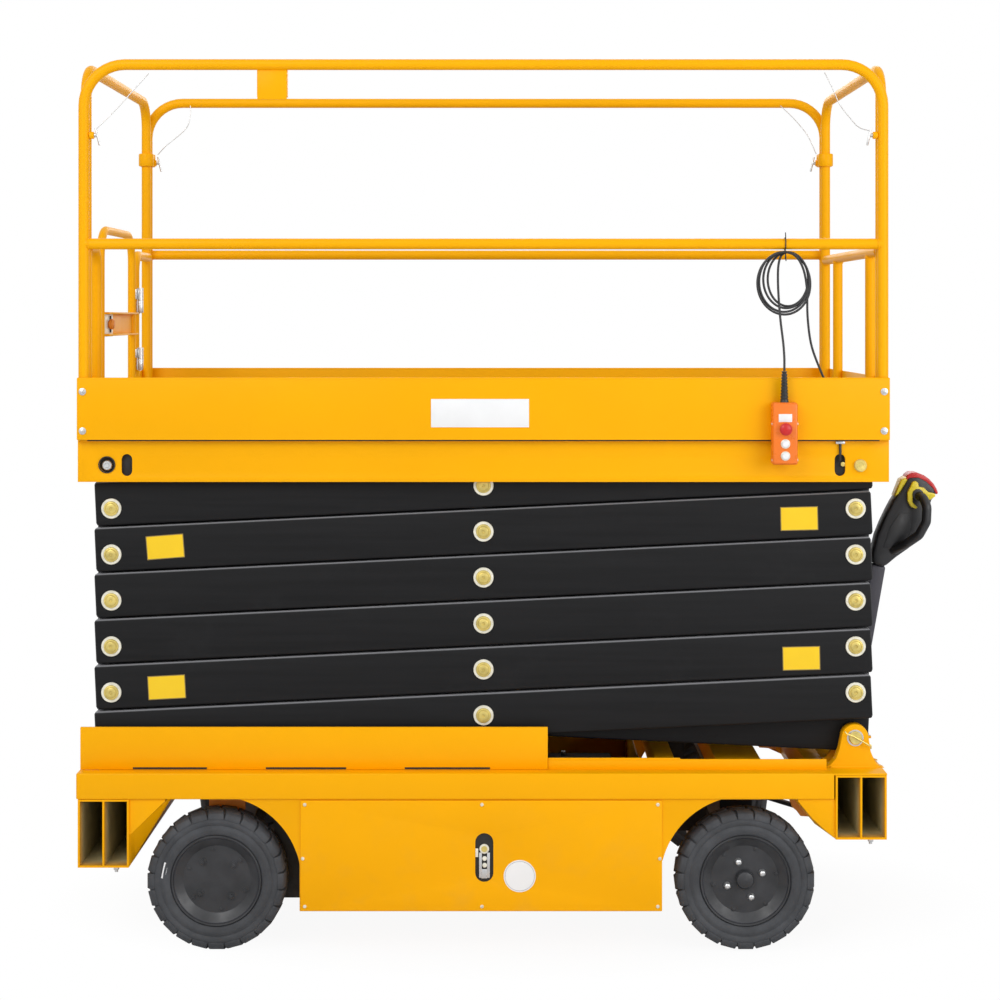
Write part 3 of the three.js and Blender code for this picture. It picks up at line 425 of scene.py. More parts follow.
MAKERS = {
    "paint": powder_coat,
    "arm": arm_paint,
    "rim": rim_paint,
    "tyre": tyre_rubber,
    "pin": pin_plating,
    "washer": pale_washer,
    "steel": bright_steel,
    "chrome": rod_chrome,
    "black": moulded_black,
    "dark": shadowed_steel,
    "cable": cable_sheath,
    "control": lambda: moulded("control_shell", colour("control")),
    "red": lambda: moulded("red_button", (0.62, 0.012, 0.012)),
    "white": lambda: blank_label("white_plate", (0.88, 0.88, 0.87)),
    "sticker": lambda: blank_label("yellow_label", (0.93, 0.60, 0.008)),
    "tunnel": pocket_paint,
    "throttle": lambda: moulded("throttle_plastic", (0.86, 0.68, 0.02)),
    "deck": checker_plate,
    "edge": lambda: moulded("label_edge", (0.30, 0.20, 0.05), 0.4, 0.6),
    # painted shade: a darker, redder copy of the body orange for the brackets in shade under the chassis; the
    # gate latch's knob uses it as well
    "bracket": lambda: moulded("shaded_bracket", (0.80, 0.26, 0.018), 0.45, 0.6),
    "lip": lambda: moulded("rim_lip", (0.050, 0.052, 0.062), 0.16, 0.26),
    "column": lambda: moulded("column_paint", (0.046, 0.043, 0.056), 0.4, 0.55),
}
made_materials = {}


def stuff(key):
    if key not in made_materials:
        made_materials[key] = MAKERS[key]()
    return made_materials[key]


# ------------------------------------------------------------------ mesh tools
class Piece:
    """A mesh put together from solids in millimetres, one material for each solid."""

    def __init__(self, place=None):
        self.mesh = bmesh.new()
        self.keys = []
        self.place = place or Matrix.Identity(4)

    def take(self, part, key, matrix=None):
        if key not in self.keys:
            self.keys.append(key)
        for face in part.faces:
            face.material_index = self.keys.index(key)
        if matrix is not None:
            part.transform(matrix)
        part.transform(self.place)
        store = bpy.data.meshes.new("part")
        part.to_mesh(store)
        part.free()
        self.mesh.from_mesh(store)
        bpy.data.meshes.remove(store)
        return self

    def box(self, x, y, z, key="paint", bevel=1.5, steps=2, matrix=None):
        part = bmesh.new()
        bmesh.ops.create_cube(part, size=1.0)
        spans = [sorted(s) for s in (x, y, z)]
        for v in part.verts:
            v.co = Vector([s[0] + (c + 0.5) * (s[1] - s[0]) for c, s in zip(v.co, spans)])
        if bevel:
            limit = min(s[1] - s[0] for s in spans) * 0.45
            soften(part, min(bevel, limit), steps)
        return self.take(part, key, matrix)

    def bar(self, start, end, radius, key="steel", sides=24, tip=None, bevel=0.0, matrix=None):
        start, end = Vector(start), Vector(end)
        along = end - start
        part = bmesh.new()
        bmesh.ops.create_cone(
            part, cap_ends=True, segments=sides, radius1=radius, radius2=radius if tip is None else tip,
            depth=along.length,
        )
        if bevel:
            soften(part, bevel, 2, 50.0)
        turn = along.to_track_quat("Z", "Y").to_matrix().to_4x4()
        part.transform(Matrix.Translation((start + end) / 2) @ turn)
        return self.take(part, key, matrix)

    def across(self, x, z, ys, radius, key="steel", **more):
        return self.bar((x, ys[0], z), (x, ys[1], z), radius, key, **more)

    def post(self, x, y, zs, radius, key="steel", **more):
        return self.bar((x, y, zs[0]), (x, y, zs[1]), radius, key, **more)

    def plate(self, outline, ys, key="paint", bevel=1.0, holes=(), matrix=None, axes="xz"):
        """A flat plate of an outline, thick along the third axis."""
        part = bmesh.new()
        edges = []
        for ring in (outline, *holes):
            verts = [part.verts.new((a, b, 0.0)) for a, b in ring]
            edges += [part.edges.new((verts[i], verts[(i + 1) % len(verts)])) for i in range(len(verts))]
        bmesh.ops.triangle_fill(part, use_beauty=True, use_dissolve=not holes, edges=edges)
        if holes:
            inside = [f for f in part.faces if any(within(f.calc_center_median(), h) for h in holes)]
            bmesh.ops.delete(part, geom=inside, context="FACES")
        bmesh.ops.solidify(part, geom=list(part.faces), thickness=ys[1] - ys[0])
        bmesh.ops.recalc_face_normals(part, faces=list(part.faces))
        low = min(v.co.z for v in part.verts)
        for v in part.verts:
            depth = ys[0] + (v.co.z - low)
            v.co = Vector((v.co.x, depth, v.co.y)) if axes == "xz" else Vector((v.co.x, v.co.y, depth)) \
                if axes == "xy" else Vector((depth, v.co.x, v.co.y))
        bmesh.ops.recalc_face_normals(part, faces=list(part.faces))
        if bevel:
            soften(part, bevel, 2, 40.0)
        return self.take(part, key, matrix)

    def turned(self, profile, centre, key="steel", sides=48, axis="Y", matrix=None):
        """A solid of revolution from [(radius, along), ...], closed on itself."""
        part = bmesh.new()
        rings = []
        for i in range(sides):
            a = 2 * math.pi * i / sides
            rings.append([part.verts.new((r * math.cos(a), r * math.sin(a), h)) for r, h in profile])
        wrap(part, rings)
        bmesh.ops.remove_doubles(part, verts=list(part.verts), dist=1e-4)
        bmesh.ops.recalc_face_normals(part, faces=list(part.faces))
        part.transform(Matrix.Translation(centre) @ AXIS_TURN[axis])
        return self.take(part, key, matrix)

    def knob(self, s, profile, centre, key, sides):
        """A turned part that stands out on side s, from [(radius, outwards), ...]."""
        return self.turned([(r, s * out) for r, out in profile][::s], centre, key, sides)

    def weld(self, centre, radius, key="paint", axis="Z", bead=3.5):
        """A rippled ring of weld round a tube joint."""
        part = bmesh.new()
        around, section = 28, 6
        rings = []
        for i in range(around):
            a = 2 * math.pi * i / around
            swell = bead * (1.0 + 0.16 * math.sin(i * 2.4))
            ring = []
            for j in range(section):
                b = 2 * math.pi * j / section
                reach = radius + swell * math.cos(b)
                ring.append(part.verts.new((reach * math.cos(a), reach * math.sin(a), swell * math.sin(b))))
            rings.append(ring)
        wrap(part, rings)
        part.transform(Matrix.Translation(centre) @ AXIS_TURN[axis])
        return self.take(part, key)

    def add_mesh(self, mesh, key, matrix=None):
        """An evaluated mesh already in millimetres."""
        part = bmesh.new()
        part.from_mesh(mesh)
        return self.take(part, key, matrix)

    def done(self, name, body, slot, *nodes, angle=32.0):
        self.mesh.transform(PLACE)
        mesh = bpy.data.meshes.new(name)
        self.mesh.to_mesh(mesh)
        self.mesh.free()
        for polygon in mesh.polygons:
            polygon.use_smooth = True
        mesh.set_sharp_from_angle(angle=math.radians(angle))
        for key in self.keys:
            mesh.materials.append(stuff(key))
        made = bpy.data.objects.new(name, mesh)
        bpy.context.scene.collection.objects.link(made)
        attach(made, body)
        if nodes:
            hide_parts(*nodes)
        return made


def wrap(part, rings):
    """Faces between rings that close on themselves both ways."""
    count = len(rings[0])
    for here, there in zip(rings, rings[1:] + rings[:1]):
        for j in range(count):
            k = (j + 1) % count
            part.faces.new((here[j], there[j], there[k], here[k]))


def skin(part, rows):
    """Faces from each closed row of corners to the next."""
    count = len(rows[0])
    for a, b in zip(rows, rows[1:]):
        for i in range(count):
            k = (i + 1) % count
            part.faces.new((a[i], a[k], b[k], b[i]))


def soften(part, width, steps, limit=30.0):
    sharp = [
        e for e in part.edges
        if len(e.link_faces) == 2 and e.calc_face_angle(0.0) > math.radians(limit)
    ]
    bmesh.ops.bevel(
        part, geom=sharp, offset=width, offset_type="OFFSET", segments=steps, profile=0.5,
        affect="EDGES", clamp_overlap=True,
    )


def within(point, ring):
    inside = False
    for i, (x0, y0) in enumerate(ring):
        x1, y1 = ring[i - 1]
        if (y0 > point.y) != (y1 > point.y):
            if point.x < (x1 - x0) * (point.y - y0) / (y1 - y0) + x0:
                inside = not inside
    return inside


def span(sign, inner, outer):
    return (inner, outer) if sign > 0 else (-outer, -inner)


def about(middle, size):
    return (middle - size / 2, middle + size / 2)


def disc(x, z, radius, count=24):
    return [
        (x + radius * math.cos(2 * math.pi * i / count), z + radius * math.sin(2 * math.pi * i / count))
        for i in range(count)
    ]


def slot_outline(x, z, width, height, count=10):
    r = width / 2
    reach = height / 2 - r
    top = [(x + r * math.cos(math.pi * i / count), z + reach + r * math.sin(math.pi * i / count))
           for i in range(count + 1)]
    low = [(x - r * math.cos(math.pi * i / count), z - reach - r * math.sin(math.pi * i / count))
           for i in range(count + 1)]
    return top + low


# ------------------------------------------------------------------ geometry node trees
class Tree(Nodes):
    """A geometry node tree with named inputs."""

    def __init__(self, name, **sockets):
        super().__init__(bpy.data.node_groups.new(name, "GeometryNodeTree"))
        face = self.tree.interface
        face.new_socket("Geometry", in_out="INPUT", socket_type="NodeSocketGeometry")
        face.new_socket("Geometry", in_out="OUTPUT", socket_type="NodeSocketGeometry")
        for socket, kind in {**sockets, "Material": "Material"}.items():
            face.new_socket(socket, in_out="INPUT", socket_type="NodeSocket" + kind)
        self.given = self.node("NodeGroupInput").outputs

    def spread(self, points, turn):
        """The part in the input Part on each point, and with the material on it the tree's result."""
        part = self.node("GeometryNodeObjectInfo", {"Object": self.given["Part"], "As Instance": True})
        return self.finish(self.node("GeometryNodeInstanceOnPoints", {
            "Points": points, "Instance": part.outputs["Geometry"], "Rotation": turn}))

    def finish(self, last):
        whole = self.node("GeometryNodeRealizeInstances", {"Geometry": last.outputs[0]})
        coloured = self.node(
            "GeometryNodeSetMaterial", {"Geometry": whole.outputs[0], "Material": self.given["Material"]},
        )
        self.node("NodeGroupOutput", {0: coloured.outputs[0]})
        return self.tree


def tube_tree():
    """Tubes of a round section along paths with bent corners."""
    t = Tree("Bent tubes", Radius="Float", Bend="Float", Sides="Int")
    path = t.node("GeometryNodeMeshToCurve", {"Mesh": t.given["Geometry"]})
    bent = t.node(
        "GeometryNodeFilletCurve", {"Curve": path.outputs[0], "Radius": t.given["Bend"], "Count": 10,
                                    "Limit Radius": True}, mode="POLY",
    )
    ring = t.node(
        "GeometryNodeCurvePrimitiveCircle", {"Resolution": t.given["Sides"], "Radius": t.given["Radius"]},
    )
    return t.finish(t.node(
        "GeometryNodeCurveToMesh",
        {"Curve": bent.outputs[0], "Profile Curve": ring.outputs[0], "Fill Caps": True},
    ))


def scatter_tree():
    """One small part on each point, all turned the same way."""
    t = Tree("Parts on points", Part="Object", Turn="Vector")
    return t.spread(t.given["Geometry"], t.given["Turn"])


def ring_tree():
    """Parts set round a circle about z, each turned to face outwards."""
    t = Tree("Parts round a ring", Part="Object", Count="Int", Radius="Float", Start="Float")
    step = t.sums("DIVIDE", 2 * math.pi, t.given["Count"])
    angle = t.sums("MULTIPLY_ADD", t.node("GeometryNodeInputIndex").outputs[0], step, t.given["Start"])
    turn = t.node("ShaderNodeCombineXYZ", {"Z": angle})
    place = {axis: t.sums("MULTIPLY", t.sums(part, angle), t.given["Radius"])
             for axis, part in (("X", "COSINE"), ("Y", "SINE"))}
    spot = t.node("ShaderNodeCombineXYZ", place)
    line = t.node("GeometryNodeMeshLine", {"Count": t.given["Count"]})
    points = t.node("GeometryNodeSetPosition", {"Geometry": line.outputs[0], "Position": spot.outputs[0]})
    return t.spread(points.outputs[0], turn.outputs[0])


TREES = {"tubes": tube_tree, "scatter": scatter_tree, "ring": ring_tree}
made_trees = {}


def grown(kind, points=(), edges=(), **inputs):
    """The plain mesh that a node tree makes from a host of points and edges, in millimetres."""
    if kind not in made_trees:
        made_trees[kind] = TREES[kind]()
    tree = made_trees[kind]
    mesh = bpy.data.meshes.new("host")
    mesh.from_pydata([tuple(p) for p in points], [tuple(e) for e in edges], [])
    host = bpy.data.objects.new("host", mesh)
    bpy.context.scene.collection.objects.link(host)
    modifier = host.modifiers.new("grow", "NODES")
    modifier.node_group = tree
    identifiers = {s.name: s.identifier for s in tree.interface.items_tree if s.item_type == "SOCKET"
                   and s.in_out == "INPUT"}
    for name, value in inputs.items():
        modifier[identifiers[name]] = value
    bpy.context.view_layer.update()
    graph = bpy.context.evaluated_depsgraph_get()
    result = bpy.data.meshes.new_from_object(host.evaluated_get(graph))
    bpy.data.objects.remove(host)
    bpy.data.meshes.remove(mesh)
    return result


def tubes(piece, paths, radius, bend=0.0, key="paint", sides=None):
    points, edges = [], []
    for path in paths:
        first = len(points)
        points += path
        edges += [(first + i, first + i + 1) for i in range(len(path) - 1)]
    mesh = grown("tubes", points, edges, Radius=float(radius), Bend=float(bend),
                 Sides=sides or sizes().rail_sides, Material=stuff(key))
    return piece.add_mesh(mesh, key)


def template(name, build):
    """A hidden small part in millimetres for the node trees to repeat."""
    part = Piece()
    build(part)
    mesh = bpy.data.meshes.new(name)
    part.mesh.to_mesh(mesh)
    part.mesh.free()
    return bpy.data.objects.new(name, mesh)


def scatter(piece, part, points, turn=(0.0, 0.0, 0.0), key="steel"):
    mesh = grown("scatter", points, (), Part=part, Turn=Vector(turn), Material=stuff(key))
    return piece.add_mesh(mesh, key)


def ring(piece, part, count, radius, matrix, key="steel", start=0.0):
    mesh = grown("ring", ((0, 0, 0),), (), Part=part, Count=count, Radius=float(radius), Start=float(start),
                 Material=stuff(key))
    return piece.add_mesh(mesh, key, matrix)


def screw_head():
    r = sizes().screw_radius * 1000
    return template("screw_head", lambda p: p.turned(
        [(0.001, 0), (r, 0), (r, 1.2), (r * 0.8, 3.0), (r * 0.45, 3.8), (r * 0.4, 2.2), (0.001, 2.2)],
        (0, 0, 0), "steel", 14, "Z"))


def hex_bolt(radius=9.0, height=7.0, washer=13.0):
    def build(p):
        p.post(0, 0, (0, 2), washer, "steel", sides=20, bevel=0.5)
        p.post(0, 0, (2, 2 + height), radius, "steel", sides=6, bevel=0.8)
        p.post(0, 0, (2, 5 + height), radius * 0.5, "steel", sides=12, bevel=0.5)
    return template("hex_bolt", build)


# ------------------------------------------------------------------ cords
def cord_curve(name, points, radius, key, body):
    curve = bpy.data.curves.new(name, "CURVE")
    curve.dimensions = "3D"
    curve.bevel_depth = radius
    curve.bevel_resolution = 3
    curve.resolution_u = 6
    curve.use_fill_caps = True
    spline = curve.splines.new("NURBS")
    spline.points.add(len(points) - 1)
    for spot, point in zip(spline.points, points):
        spot.co = (*point, 1.0)
    spline.order_u = 4
    spline.use_endpoint_u = True
    curve.materials.append(stuff(key))
    made = bpy.data.objects.new(name, curve)
    bpy.context.scene.collection.objects.link(made)
    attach(made, body)
    return made


def smooth_path(points, count):
    """Evenly spaced points on a Catmull-Rom curve through the given points."""
    pts = [Vector(p) for p in points]
    ends = [pts[0] * 2 - pts[1], *pts, pts[-1] * 2 - pts[-2]]
    dense = []
    for i in range(1, len(ends) - 2):
        a, b, c, d = ends[i - 1:i + 3]
        for s in range(20):
            t = s / 20
            dense.append(0.5 * ((2 * b) + (c - a) * t + (2 * a - 5 * b + 4 * c - d) * t * t
                                + (3 * b - a - 3 * c + d) * t ** 3))
    dense.append(pts[-1])
    lengths = [0.0]
    for p, q in zip(dense, dense[1:]):
        lengths.append(lengths[-1] + (q - p).length)
    even, j = [], 0
    for i in range(count):
        want = lengths[-1] * i / (count - 1)
        while j < len(lengths) - 2 and lengths[j + 1] < want:
            j += 1
        gap = max(lengths[j + 1] - lengths[j], 1e-9)
        even.append(dense[j].lerp(dense[j + 1], (want - lengths[j]) / gap))
    return even, lengths[-1]


def metre(p):
    return PLACE @ Vector(p)


class LIFT_OT_hand_cable(bpy.types.Operator):
    """Cable from the deck gland through its hung coil to the hand control"""

    bl_idname = "lift.hand_cable"
    bl_label = "Hand control cable"

    def execute(self, context):
        hand_y = sum(HAND_Y) / 2
        down = [
            (GLAND_X, GLAND_Y, GLAND_TOP),
            (GLAND_X, GLAND_Y, GLAND_TOP + 20),
            (GLAND_X, GLAND_Y, GLAND_TOP + 40),
            (GLAND_X - 1, GLAND_Y, 1686.0),
            (1018, GLAND_Y, 1735.0),
            (988, COIL_Y + 6, 1815.0),
            (976, COIL_Y + 4, 1900.0),
            (973, COIL_Y - 2, 1985.0),
            (962, COIL_Y - 6, 2045.0),
            (940, COIL_Y - 8, 2084.0),
        ]
        loops = []
        steps = 18
        total = len(COIL_LOOPS) * steps
        for i in range(total + 1):
            turn = i / steps
            which = min(int(turn), len(COIL_LOOPS) - 1)
            following = min(which + 1, len(COIL_LOOPS) - 1)
            blend = turn - which
            wide, high, middle, side = (a * (1 - blend) + b * blend
                                        for a, b in zip(COIL_LOOPS[which], COIL_LOOPS[following]))
            a = math.pi / 2 + 2 * math.pi * turn
            loops.append((COIL_X + middle + wide * math.cos(a), COIL_Y + side,
                          COIL_TOP - high + high * math.sin(a)))
        to_hand = [
            (898, COIL_Y + 8, 2090.0),
            (889, COIL_Y + 8, 2062.0),
            (887, COIL_Y + 8, 2020.0),
            (889, COIL_Y + 6, 1960.0),
            (893, hand_y + 32, 1890.0),
            (HAND_X - 2, hand_y + 10, 1825.0),
            (HAND_X, hand_y, BOOT_TOP + 40),
            (HAND_X, hand_y, BOOT_TOP + 20),
            (HAND_X, hand_y, BOOT_TOP + 1),
        ]
        points, length = smooth_path([metre(p) for p in down + loops + to_hand], 210)
        made = cord_curve("hand_cable", points, CABLE_R / 1000, "cable", "platform")
        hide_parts("cable_to_handset", "cable_coil", "cable_to_deck")
        return {"FINISHED"}


LANYARDS = (
    # from the rail above to the pin, with the hang in between
    ("near_rear", [(-1011, -545, 2637), (-1060, -548, 2582), (-1110, -553, 2525), (-1168, -562, 2466)]),
    ("far_rear", [(-1050, 546, 2652), (-1049, 544, 2624), (-1064, 543, 2571), (-1135, 545, 2510),
                  (-1166, 550, 2478)]),
    ("near_front", [(1030, -545, 2640), (1051, -546, 2598), (1075, -548, 2544), (1102, -551, 2507),
                    (1131, -555, 2474), (1166, -561, 2462)]),
    ("far_front", [(1046, 546, 2652), (1089, 543, 2610), (1121, 543, 2574), (1146, 545, 2540),
                   (1174, 550, 2480)]),
)


class LIFT_OT_lanyards(bpy.types.Operator):
    """Wire lanyards between the rails and their locking pins"""

    bl_idname = "lift.lanyards"
    bl_label = "Pin lanyards"

    def execute(self, context):
        if not sizes().show_tether:
            return {"FINISHED"}
        for name, route in LANYARDS:
            points, length = smooth_path([metre(p) for p in route], 24)
            made = cord_curve(f"lanyard_{name}", points, LANYARD_R / 1000, "steel", "platform")
        return {"FINISHED"}


# ------------------------------------------------------------------ camera, lights and floor
class LIFT_OT_stage(bpy.types.Operator):
    """Camera, soft studio lights and a plain pale floor"""

    bl_idname = "lift.stage"
    bl_label = "Studio stage"

    def execute(self, context):
        scene = context.scene
        camera = bpy.data.cameras.new("camera")
        camera.lens = 73.7
        camera.sensor_width = 36.0
        camera.shift_y = -0.184
        camera.clip_end = 60.0
        eye = bpy.data.objects.new("camera", camera)
        scene.collection.objects.link(eye)
        eye.location = metre((50.0, -6726.0, 1905.0))
        eye.rotation_euler = (math.radians(90), 0.0, 0.0)
        scene.camera = eye

        world = bpy.data.worlds.new("studio")
        scene.world = world
        world.use_nodes = True
        nodes, links = world.node_tree.nodes, world.node_tree.links
        sky = Nodes(world.node_tree)
        tinted = world.node_tree.nodes["Background"]
        sky.feed(tinted.inputs["Color"], (0.93, 0.95, 1.0))
        sky.feed(tinted.inputs["Strength"], 0.55)
        white = sky.node("ShaderNodeBackground", {"Color": (1.0, 1.0, 1.0), "Strength": 1.0})
        seen = sky.node("ShaderNodeLightPath").outputs
        direct = sky.sums("MAXIMUM", seen["Is Camera Ray"], seen["Is Glossy Ray"])
        direct = sky.sums("MAXIMUM", direct, seen["Is Transmission Ray"])
        sky.feed(world.node_tree.nodes["World Output"].inputs["Surface"], sky.mixed(direct, tinted, white))

        floor_mesh = bpy.data.meshes.new("floor")
        reach = 14.0
        floor_mesh.from_pydata(
            [(-reach, -reach, 0), (reach, -reach, 0), (reach, reach, 0), (-reach, reach, 0)], [],
            [(0, 1, 2, 3)],
        )
        floor = bpy.data.objects.new("floor", floor_mesh)
        scene.collection.objects.link(floor)
        floor.location.z = -0.001
        floor_mesh.materials.append(self.floor_material())

        for name, spot, aim, size, power in (
            ("key", (-3.4, -5.2, 5.4), (0.0, 0.0, 1.2), 4.2, 190.0),
            ("fill", (4.6, -4.6, 3.2), (0.0, 0.0, 1.0), 4.0, 162.0),
            ("back", (0.6, 4.8, 4.6), (0.0, 0.0, 1.6), 4.0, 90.0),
        ):
            lamp = bpy.data.lights.new(name, "AREA")
            lamp.size = size
            lamp.energy = power
            made = bpy.data.objects.new(name, lamp)
            scene.collection.objects.link(made)
            made.location = spot
            made.rotation_euler = (Vector(aim) - Vector(spot)).to_track_quat("-Z", "Y").to_euler()
        scene.view_settings.view_transform = "Standard"
        return {"FINISHED"}

    @staticmethod
    def floor_material():
        """Plain near the wheels, where the shadow falls, and pure white further out."""
        r = Recipe("floor_white")
        r.put(Base_Color=(0.86, 0.86, 0.86), Roughness=0.9, Specular_IOR_Level=0.0)
        glow = r.node("ShaderNodeEmission", {"Color": (1.0, 1.0, 1.0), "Strength": 1.0})
        flat = r.node("ShaderNodeVectorMath", {0: r.where, 1: (0.55, 1.0, 0.0)}, operation="MULTIPLY")
        far = r.node("ShaderNodeVectorMath", {0: flat.outputs[0]}, operation="LENGTH").outputs["Value"]
        seen = r.node("ShaderNodeLightPath").outputs["Is Camera Ray"]
        share = r.sums("MULTIPLY", seen, r.levels(far, 0.6, 0.86, 0.93, 1.0))
        r.feed(r.tree.nodes["Material Output"].inputs["Surface"], r.mixed(share, r.shader, glow))
        return r.material


# ------------------------------------------------------------------ scissor mast
def arm_turn(stage, inner):
    middle = Matrix.Translation((0.0, 0.0, LOW_PIN_Z + (stage - 0.5) * STAGE_RISE))
    if inner:
        return middle @ Matrix.Rotation(ARM_ANGLE, 4, "Y") @ Matrix.Rotation(math.pi, 4, "Z")
    return middle @ Matrix.Rotation(-ARM_ANGLE, 4, "Y")


def arm_tube(piece, ys):
    """A rounded rectangular tube, a little flatter than its pivots' line, plugged at its ends."""
    reach = HALF_PITCH + ARM_PAST_PIN
    half = ARM_HEIGHT / 2
    piece.box((-reach, reach), ys, (-half, half), "arm", bevel=6.5, steps=4, matrix=BAR_LEAN)
    inset = (min(ys) + 6.5, max(ys) - 6.5)
    for end in (-1, 1):
        piece.box(sorted((end * (reach - 1.0), end * (reach + 1.6))), inset, (-half + 6.5, half - 6.5),
                  "black", bevel=1.2, matrix=BAR_LEAN)


def pin_cap(piece, x, s):
    """A shaft's end: a pale washer, a gold stepped cap and a centre drilling."""
    washer = [(21.0, 0.0), (30.5, 0.0), (30.5, 3.2), (29.4, 4.6), (21.0, 4.6)]
    cap = [(0.001, 0.0), (22.5, 0.0), (22.5, 6.0), (21.0, 8.2), (17.6, 9.0), (16.8, 7.8), (15.4, 7.8),
           (14.6, 10.2), (12.0, 11.2), (5.0, 11.2), (3.6, 8.4), (0.001, 8.4)]
    for profile, key in ((washer, "washer"), (cap, "pin")):
        piece.knob(s, profile, (x, s * ARM_FACE, 0.0), key, 40)


def roller(piece, x, y):
    """A track roller on a frame's end pin."""
    half = [(25.2, 19.5), (30.0, 19.5), (33.0, 16.5)]
    piece.turned([(r, -h) for r, h in half] + half[::-1], (x, y, 0.0), "steel", 40)


class LIFT_OT_outer_arms(bpy.types.Operator):
    """Outer scissor frames with their through shafts and pin ends"""

    bl_idname = "lift.outer_arms"
    bl_label = "Outer scissor arms"

    def execute(self, context):
        for stage in range(1, STAGES + 1):
            piece = Piece(arm_turn(stage, False))
            for _, s in SIDES:
                arm_tube(piece, span(s, ARM_FACE - ARM_THICK, ARM_FACE))
                for x in (-HALF_PITCH, 0.0, HALF_PITCH):
                    pin_cap(piece, x, s)
                piece.across(0.0, 0.0, span(s, 419.0, ARM_FACE), 25.0)
                if stage == 1:
                    roller(piece, -HALF_PITCH, s * INNER_ARM_Y)
            for x in (-HALF_PITCH, HALF_PITCH):
                piece.across(x, 0.0, (-ARM_FACE, ARM_FACE), 25.0, "arm")
            self.stickers(piece, stage)
            piece.done(f"outer_arms_{stage}", f"outer_{stage}", "charcoal", f"stage_{stage}_outer_arms")
        return {"FINISHED"}

    @staticmethod
    def stickers(piece, stage):
        """Plain yellow labels, put on by hand near the ends of the second and fifth frames."""
        spots = {2: ((-961, 5, -0.5), (963, -26, -2.3)), 5: ((-965, 13, 0.9), (957, -20, -2.3))}
        for x, z, lean in spots.get(stage, ()):
            place = Matrix.Translation((x, 0, z)) @ Matrix.Rotation(math.radians(-lean), 4, "Y")
            for _, s in SIDES:
                for half, rise, key in ((36.0, (0.0, 0.7), "edge"), (33.5, (0.5, 1.0), "sticker")):
                    ys = span(s, *(ARM_FACE + h for h in rise))
                    piece.box(about(0, 2 * half + 42), ys, (-half, half), key, bevel=0.0, matrix=place)


class LIFT_OT_inner_arms(bpy.types.Operator):
    """Inner scissor frames with cross tubes and cylinder lugs"""

    bl_idname = "lift.inner_arms"
    bl_label = "Inner scissor arms"

    def execute(self, context):
        for stage in range(1, STAGES + 1):
            piece = Piece(arm_turn(stage, True))
            for _, s in SIDES:
                arm_tube(piece, span(s, ARM_INSIDE, ARM_INSIDE + ARM_THICK))
                for x in (-HALF_PITCH, 0.0, HALF_PITCH):
                    piece.across(x, 0.0, span(s, ARM_INSIDE - 5, ARM_INSIDE + 1), 34.0, "arm", bevel=1.5)
            tube_at = [CROSS_TUBE_X]
            if stage in (2, 5):
                self.head_lugs(piece)
            else:
                tube_at.append(-CROSS_TUBE_X)
            for x in tube_at:
                piece.across(x, 0.0, (-ARM_INSIDE, ARM_INSIDE), 30.0, "arm", sides=28)
                for _, s in SIDES:
                    piece.weld((x, s * (ARM_INSIDE - 1), 0.0), 30.0, "arm", "Y", 4.0)
            if stage in (1, 4):
                for _, s in SIDES:
                    piece.across(FOOT_PIN_X, 0.0, span(s, 28.3, ARM_INSIDE), 38.0, "arm", sides=28, bevel=2.0)
                    piece.weld((FOOT_PIN_X, s * (ARM_INSIDE - 1), 0.0), 38.0, "arm", "Y", 4.0)
                piece.across(FOOT_PIN_X, 0.0, (-44.3, 44.3), 18.0)
            if stage == STAGES:
                piece.across(HALF_PITCH, 0.0, (-ARM_FACE - 8, ARM_FACE + 8), 25.0, bevel=1.5)
                for _, s in SIDES:
                    roller(piece, HALF_PITCH, s * OUTER_ARM_Y)
            piece.done(f"inner_arms_{stage}", f"inner_{stage}", "charcoal", f"stage_{stage}_inner_arms")
        return {"FINISHED"}

    @staticmethod
    def head_lugs(piece):
        """A cross tube in two halves, joined over the rod's eye by a pair of lugs and a bridge."""
        x, eye = HEAD_EYE
        outline = [(x - 45, 0), (x + 45, 0), (x + 44, 60), (x + 36, 152), (x + 20, 170), (x, 178),
                   (x - 60, 183), (x - 96, 186), (x - 96, 154), (x - 62, 140), (x - 46, 100)]
        for _, s in SIDES:
            piece.across(x, 0.0, span(s, 28.3, ARM_INSIDE), 30.0, "arm", sides=28)
            piece.weld((x, s * (ARM_INSIDE - 1), 0.0), 30.0, "arm", "Y", 4.0)
            piece.plate(outline, span(s, 28.3, 44.3), "arm", bevel=2.0)
            piece.weld((x, s * 44.0, 0.0), 30.0, "arm", "Y", 3.5)
            piece.across(x, eye, span(s, 43.8, 50.0), 22.0, "pin", bevel=1.5)
        piece.across(x - 80, 170.0, (-29.3, 29.3), 12.0, "arm", sides=20)


